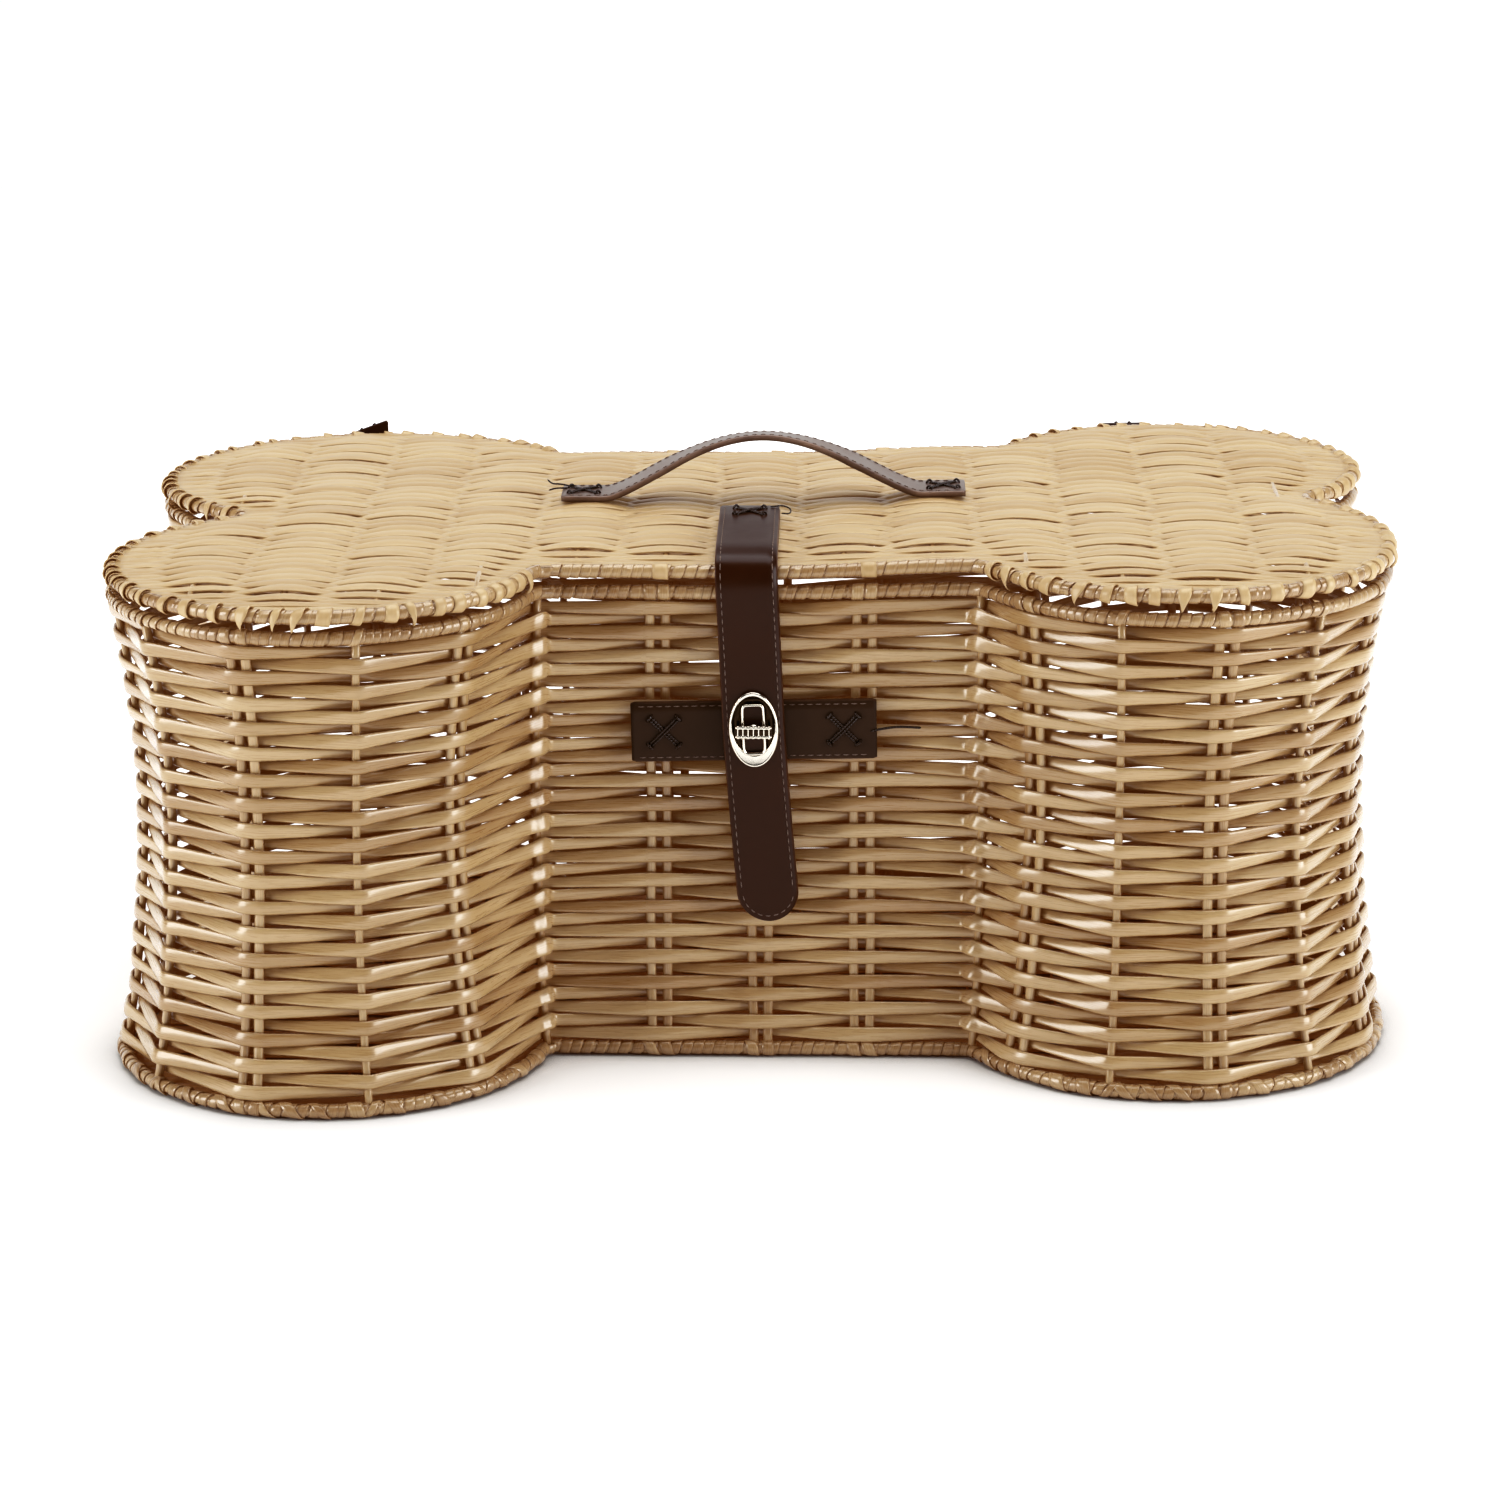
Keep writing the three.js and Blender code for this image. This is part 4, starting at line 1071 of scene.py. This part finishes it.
def add_closing_strap():
    slant = STRAP["slant"]
    top_x = -(LID_RIM_Z - LOCK_Z) * math.tan(slant)
    on_lid = LEATHER_ON_LID_Z + LEATHER / 2
    fall = STRAP["face_y"] + LEATHER / 2
    half = STRAP["width"] / 2
    line = [[STRAP["back_y"], on_lid], [-66, on_lid], [-84, on_lid], [-93, on_lid], [-100.5, on_lid - 1.3],
            [fall + 1.0, LID_RIM_Z + 4.2], [fall - 1.3, LID_RIM_Z - 3], [fall - 1.0, LID_RIM_Z - 10],
            [fall, 176], [fall, LOCK_Z], [fall, STRAP["tip_z"]]]
    flat = rounded_path(line, 1.5, 3)
    z = flat[:, 1]
    swing = STRAP_SWING * np.clip((LOCK_Z - z) / (LOCK_Z - STRAP["tip_z"]), 0, 1) ** 1.3
    x = np.where(z > LID_RIM_Z, top_x, -(z - LOCK_Z) * math.tan(slant)) + swing
    path = with_tip(np.stack([x, flat[:, 0], z], axis=1), half)
    lean = slant * smooth_step((LID_RIM_Z + 4 - path[:, 2]) / 12)
    across = np.stack([np.cos(lean), np.zeros(len(path)), np.sin(lean)], axis=1)
    across, face = facing(path, across, UP)
    crossing = ("lid", "strap_tail", (top_x, fall, LID_RIM_Z + 6.5), (top_x, fall, LID_RIM_Z - 9))
    pile = Pile()
    strap(pile, path, across, face, STRAP["width"], LEATHER, ends=(0.6, half))
    pile.make("closing_strap_whole", brown_leather, crossing,
              ["closing_strap", "closing_strap_tail"])

    edge = Pile()
    keep = path[:, 2] > STRAP["tip_z"] + half - 2
    stitch_inset = 2.1
    edge_stitches(edge, path[keep], across[keep], face[keep], STRAP["width"], LEATHER, stitch_inset)
    middle = np.array([path[~keep][0, 0], fall, STRAP["tip_z"] + half])
    radius = half - stitch_inset
    for turn in np.arange(math.pi + 0.18, 2 * math.pi - 0.1, 0.32):
        ends = [middle + [radius * math.cos(a), -LEATHER / 2 - rise, radius * math.sin(a)]
                for a, rise in zip((turn, turn + 0.11, turn + 0.22), STITCH_RISES)]
        thread_run(edge, ends, (0, -1, 0), STITCH_RADIUS)
    edge.make("strap_edge_stitching", edge_thread, crossing)

    top = LEATHER_ON_LID_Z + LEATHER
    edge_x = top_x + half
    tail = [(-4, -30, 0.4), (1, -28, 0.6), (4.5, -30, -0.5), (4, -36, -1.2), (0.5, -37, -0.6)]
    cross = ((top_x, STRAP["back_y"] - 10.5, top + 0.2), (1, 0, 0), (0, 1, 0), 15.5, 0.42)
    sew("strap_cross", "lid", "closing_strap_stitch", cross,
        [([(edge_x + x, y, top + z) for x, y, z in tail], UP, 0.32)])


# ---- patch and turn lock

PATCH = {"length": 97.0, "height": 24.5, "thickness": 2.0, "slant": math.radians(1.2), "below_lock": 2.3}
PATCH_FACE_Y = -103.0


def add_patch():
    half = PATCH["length"] / 2
    slant = PATCH["slant"]
    right = np.array([math.cos(slant), 0.0, math.sin(slant)])
    up = np.array([-math.sin(slant), 0.0, math.cos(slant)])
    centre = np.array([0.0, PATCH_FACE_Y + PATCH["thickness"] / 2, LOCK_Z - PATCH["below_lock"]])
    path = centre + np.linspace(-half, half, 60)[:, None] * right
    lay_strap("lock_patch_leather", "patch_edge_stitching", path, fixed(path, *up), (0, -1, 0),
              (PATCH["height"], PATCH["thickness"]), 1.8, cut_leather, "basket_body", ["lock_patch"])
    end = centre + right * (half + 0.5) - [0, 0.6, 0]
    tail = [end + step for step in ((-3, -0.6, -1), (1, -0.5, 0), (8, 0.2, 0.8), (17, 0.4, 0.3))]
    for name, side, tails in (("left", -1, ()), ("right", 1, [(tail, (0, -1, 0), 0.5)])):
        place = centre + right * side * (half - 13) - [0, PATCH["thickness"] / 2 + 0.2, 0]
        sew(f"patch_cross_{name}", "basket_body", f"patch_stitch_{name}", (place, right, up, 15.5), tails)


EYELET = {"width": 20.0, "height": 31.0, "back_y": -108.3, "plate": 1.2, "edge": 0.9}
SLOT = {"width": 7.0, "height": 18.5}
KNOB = {"length": 14.5, "width": 5.5, "front_y": -114.7, "back_y": -110.7, "neck": 2.4, "tail_y": -101.8}
KNOB_BEAD_PITCH = 2.05
LOOP_POINTS = 96


def oval_loop(width, height, rise=0.0):
    angle = 2 * math.pi * np.arange(LOOP_POINTS) / LOOP_POINTS
    return np.stack([width / 2 * np.cos(angle), height / 2 * np.sin(angle) + rise], axis=1)


def slot_loop(width, height, corner):
    """A rounded rectangle whose points lie in the same directions as an oval's."""
    angle = 2 * math.pi * np.arange(LOOP_POINTS) / LOOP_POINTS
    c, s = np.cos(angle), np.sin(angle)
    x = (width / 2 - corner) * np.sign(c) * np.abs(c) ** 0.18
    z = (height / 2 - corner) * np.sign(s) * np.abs(s) ** 0.18
    return np.stack([x + corner * c, z + corner * s], axis=1)


def ring_of_loops(pile, loops):
    """A closed ring on the strap through these loops, each with its own depth."""
    slant = STRAP["slant"]
    points = np.empty((LOOP_POINTS, len(loops), 3))
    for i, (outline, depth) in enumerate(loops):
        x, z = outline.T
        points[:, i, 0] = x * math.cos(slant) - z * math.sin(slant)
        points[:, i, 1] = EYELET["back_y"] + depth
        points[:, i, 2] = LOCK_Z + x * math.sin(slant) + z * math.cos(slant)
    pile.grid(points, np.zeros(points.shape), True)


def add_eyelet():
    """The oval plate on the strap: a rolled rim, a sunk field in near-black nickel that is painted shade,
    and a raised frame round the slot.
    """
    face = -EYELET["plate"]
    top = face - EYELET["edge"]
    field_height = EYELET["height"] - 7.0
    field_rise = 1.7  # the rim is broadest at the bottom

    def rim(shrink, depth, lower=0.0):
        return oval_loop(EYELET["width"] - shrink, EYELET["height"] - shrink - lower), depth

    def field(shrink, taller, lower, depth):
        return oval_loop(EYELET["width"] - shrink, field_height + taller, field_rise - lower), depth

    def frame_loop(grown, corner, depth):
        return slot_loop(SLOT["width"] + grown, SLOT["height"] + grown, corner), depth

    bright = Pile()
    ring_of_loops(bright, [
        rim(0.0, 0.0), rim(0.0, face * 0.6), rim(0.25, face - 0.35), rim(0.9, top + 0.12), rim(1.5, top),
        rim(2.2, top + 0.15), rim(2.5, top + 0.2, 0.1), field(2.8, 0.9, 0.2, top + 0.2),
        field(3.0, 0.4, 0.1, top + 0.25), field(3.2, 0.0, 0.0, face + 0.4), field(3.2, 0.0, 0.0, 0.0)])
    ring_of_loops(bright, [
        frame_loop(2.5, 0.9, 0.0), frame_loop(2.5, 0.9, face + 0.2), frame_loop(2.2, 0.8, top + 0.1),
        frame_loop(1.3, 0.7, top + 0.02), frame_loop(0.4, 0.5, top + 0.25), frame_loop(0.0, 0.4, face),
        frame_loop(0.0, 0.4, 0.0)])
    bright.make("eyelet_oval", nickel, "strap_tail", ["eyelet_plate"])
    # The sunk field is made in the near-black nickel: painted shade in the recess.
    dark = Pile()
    ring_of_loops(dark, [field(3.0, 0.2, 0.0, 0.0), field(3.0, 0.2, 0.0, face + 0.6),
                         frame_loop(2.3, 0.9, face + 0.6), frame_loop(2.3, 0.9, 0.0)])
    dark.make("eyelet_field", painted_shade_nickel, "strap_tail", ["eyelet_plate"])


def add_knob():
    """The turning bar, two beaded rods with ribs between them, on its round spindle."""
    half = KNOB["length"] / 2
    x = half * np.sin(np.linspace(-math.pi / 2, math.pi / 2, 97))
    middle_y = (KNOB["front_y"] + KNOB["back_y"]) / 2
    path = np.stack([x, np.full_like(x, middle_y), np.full_like(x, LOCK_Z)], axis=1)
    rounding = np.sqrt(np.clip(1 - np.clip((np.abs(x) - half + 1.0) / 1.0, 0, 1) ** 2, 0.01, 1))
    beads = 0.30 * (0.5 + 0.5 * np.cos(2 * math.pi * x / KNOB_BEAD_PITCH)) * (np.abs(x) < half - 0.6)
    up = fixed(path, *UP)
    front = fixed(path, 0.0, -1.0, 0.0)
    rod = 0.62
    rod_z = KNOB["width"] / 2 - rod - 0.30
    bright = Pile()
    for z in (-rod_z, rod_z):
        bright.strand(path + [0, -1.1, z], up, front, (rod + beads) * rounding, (rod + beads) * rounding,
                      sides=16, squareness=1.0)
    for rib_x in KNOB_BEAD_PITCH * np.arange(-3, 4):
        rib = np.array([[rib_x, middle_y - 1.25, LOCK_Z + z] for z in np.linspace(-rod_z, rod_z, 5)])
        bright.strand(rib, fixed(rib, 1.0, 0.0, 0.0), fixed(rib, 0.0, -1.0, 0.0), 0.28, 0.4, sides=8)
    spindle = np.array([[0, y, LOCK_Z] for y in np.linspace(KNOB["back_y"] - 0.6, KNOB["tail_y"], 12)])
    size = np.full(len(spindle), KNOB["neck"])
    size[-3:] = 3.5  # the riveted end
    size[-1] = 3.2
    bright.strand(spindle, fixed(spindle, 1.0, 0.0, 0.0), fixed(spindle, *UP), size, size, sides=28,
                  squareness=1.0)
    bright.make("turn_knob", nickel, "knob", ["lock_knob"])
    # The bar's body behind the rods is in the near-black nickel: painted shade between the rods.
    dark = Pile()
    dark.strand(path + [0, 0.35, 0], up, front, (KNOB["width"] / 2 - 0.5) * rounding, 1.5 * rounding,
                sides=24, squareness=0.6)
    dark.make("turn_knob_body", painted_shade_nickel, "knob", ["lock_knob"])


# ---- put together

add_wall()
add_stakes()
add_body_rims()
add_lid_rim()
add_lid_weave()
add_base()
add_handle()
add_hinge("left")
add_hinge("right")
add_closing_strap()
add_patch()
add_eyelet()
add_knob()

for node in ("lock_plate", "lock_back_washer", "eyelet_back_washer"):
    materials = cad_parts[node].data.materials
    for i in range(len(materials)):
        materials[i] = nickel

# ---- floor, light and camera


def floor_material():
    """White paper, bright to its edge: it glows a little, more further out, and not close to the basket.
    Next to the basket, ambient occlusion darkens its colour and glow into a painted contact shadow.
    """
    material, n = new_material("pale_floor")
    distance = n.add("ShaderNodeVectorMath", {"operation": "LENGTH"}, Vector=n.place()).outputs["Value"]
    # Painted contact shadow: where ambient occlusion finds the basket close, the floor's colour and glow are
    # darkened.
    open_air = n.add("ShaderNodeAmbientOcclusion", {"samples": 6}, Distance=0.022).outputs["AO"]
    clear = n.range(open_air, 0.35, 0.95, 0.0, 1.0)
    glow = n.range(distance, 0.3, 0.9, 0.23, 0.55)
    n.shade(Base_Color=n.ramp(clear, [(0.0, [0.48] * 3), (1.0, [0.93] * 3)]),
            Emission_Color=(1, 1, 1, 1), Emission_Strength=n.math("MULTIPLY", glow, clear),
            Roughness=0.9, Specular_IOR_Level=0.1)
    return material


def add_floor(radius):
    count = 96
    angle = 2 * math.pi * np.arange(count) / count
    points = [(radius * math.cos(a), radius * math.sin(a), 0) for a in angle]
    mesh = bpy.data.meshes.new("floor")
    mesh.from_pydata(points, [], [list(range(count))])
    mesh.materials.append(floor_material())
    floor = bpy.data.objects.new("floor", mesh)
    bpy.context.scene.collection.objects.link(floor)


def add_softbox(name, place, target, size, power):
    light = bpy.data.lights.new(name, "AREA")
    light.shape = "RECTANGLE"
    light.size, light.size_y = size
    light.energy = power
    lamp = bpy.data.objects.new(name, light)
    lamp.location = place
    lamp.rotation_euler = (Vector(target) - Vector(place)).to_track_quat("-Z", "Y").to_euler()
    bpy.context.scene.collection.objects.link(lamp)


def add_sky():
    """A white backdrop. It lights the basket only from low down and from a third of the way up behind it."""
    world = bpy.data.worlds.new("studio")
    bpy.context.scene.world = world
    n = Nodes(world, "Background")
    parts = n.add("ShaderNodeSeparateXYZ", Vector=n.add("ShaderNodeTexCoord").outputs["Generated"])
    height = n.math("MULTIPLY_ADD", parts.outputs[1], -0.5, parts.outputs[2])
    light = n.ramp(height, [(0.01, [1.0] * 3), (0.08, [0.10] * 3)])
    seen = n.add("ShaderNodeLightPath").outputs["Is Camera Ray"]
    n.shade(Color=n.math("MAXIMUM", light, seen), Strength=1.04)


def add_camera():
    elevation = math.radians(16.36)
    yaw = math.radians(1.068)
    target = Vector((0, 0, 0.100))
    level = math.cos(elevation)
    back = Vector((math.sin(yaw) * level, -math.cos(yaw) * level, math.sin(elevation)))
    distance = 1.8296
    camera = bpy.data.cameras.new("camera")
    camera.sensor_width = 36
    camera.lens = 104.63
    camera.shift_x = -0.00585
    camera.shift_y = -0.00404
    view = bpy.data.objects.new("camera", camera)
    view.location = target + back * distance
    view.rotation_euler = (-back).to_track_quat("-Z", "Y").to_euler()
    bpy.context.scene.collection.objects.link(view)
    bpy.context.scene.camera = view


def add_tone_curve():
    """A camera's tone curve: deeper and warmer shadows, and light tones as they are."""
    settings = bpy.context.scene.view_settings
    settings.view_transform = "Standard"
    settings.use_curve_mapping = True
    _, green, blue, all_three = settings.curve_mapping.curves
    bends = [(all_three, ((0.05, 0.023), (0.10, 0.052), (0.165, 0.098), (0.42, 0.37), (0.66, 0.655))),
             (green, ((0.03, 0.022), (0.08, 0.069), (0.16, 0.156), (0.40, 0.40), (0.70, 0.70))),
             (blue, ((0.02, 0.010), (0.06, 0.048), (0.12, 0.116), (0.40, 0.40), (0.70, 0.70)))]
    for curve, points in bends:
        for place, value in points:
            curve.points.new(place, value)
    settings.curve_mapping.update()


add_floor(2.2)
add_sky()
add_softbox("overhead", (0.1, 0.30, 2.0), (0.05, 0.15, 0), (2.2, 1.9), 45)
add_softbox("right_strip", (1.7, -0.82, 0.6), (0.08, -0.1, 0.1), (0.9, 1.2), 25)
add_softbox("left_strip", (-1.7, -0.82, 0.6), (-0.08, -0.1, 0.1), (0.9, 1.2), 24)
add_camera()
add_tone_curve()
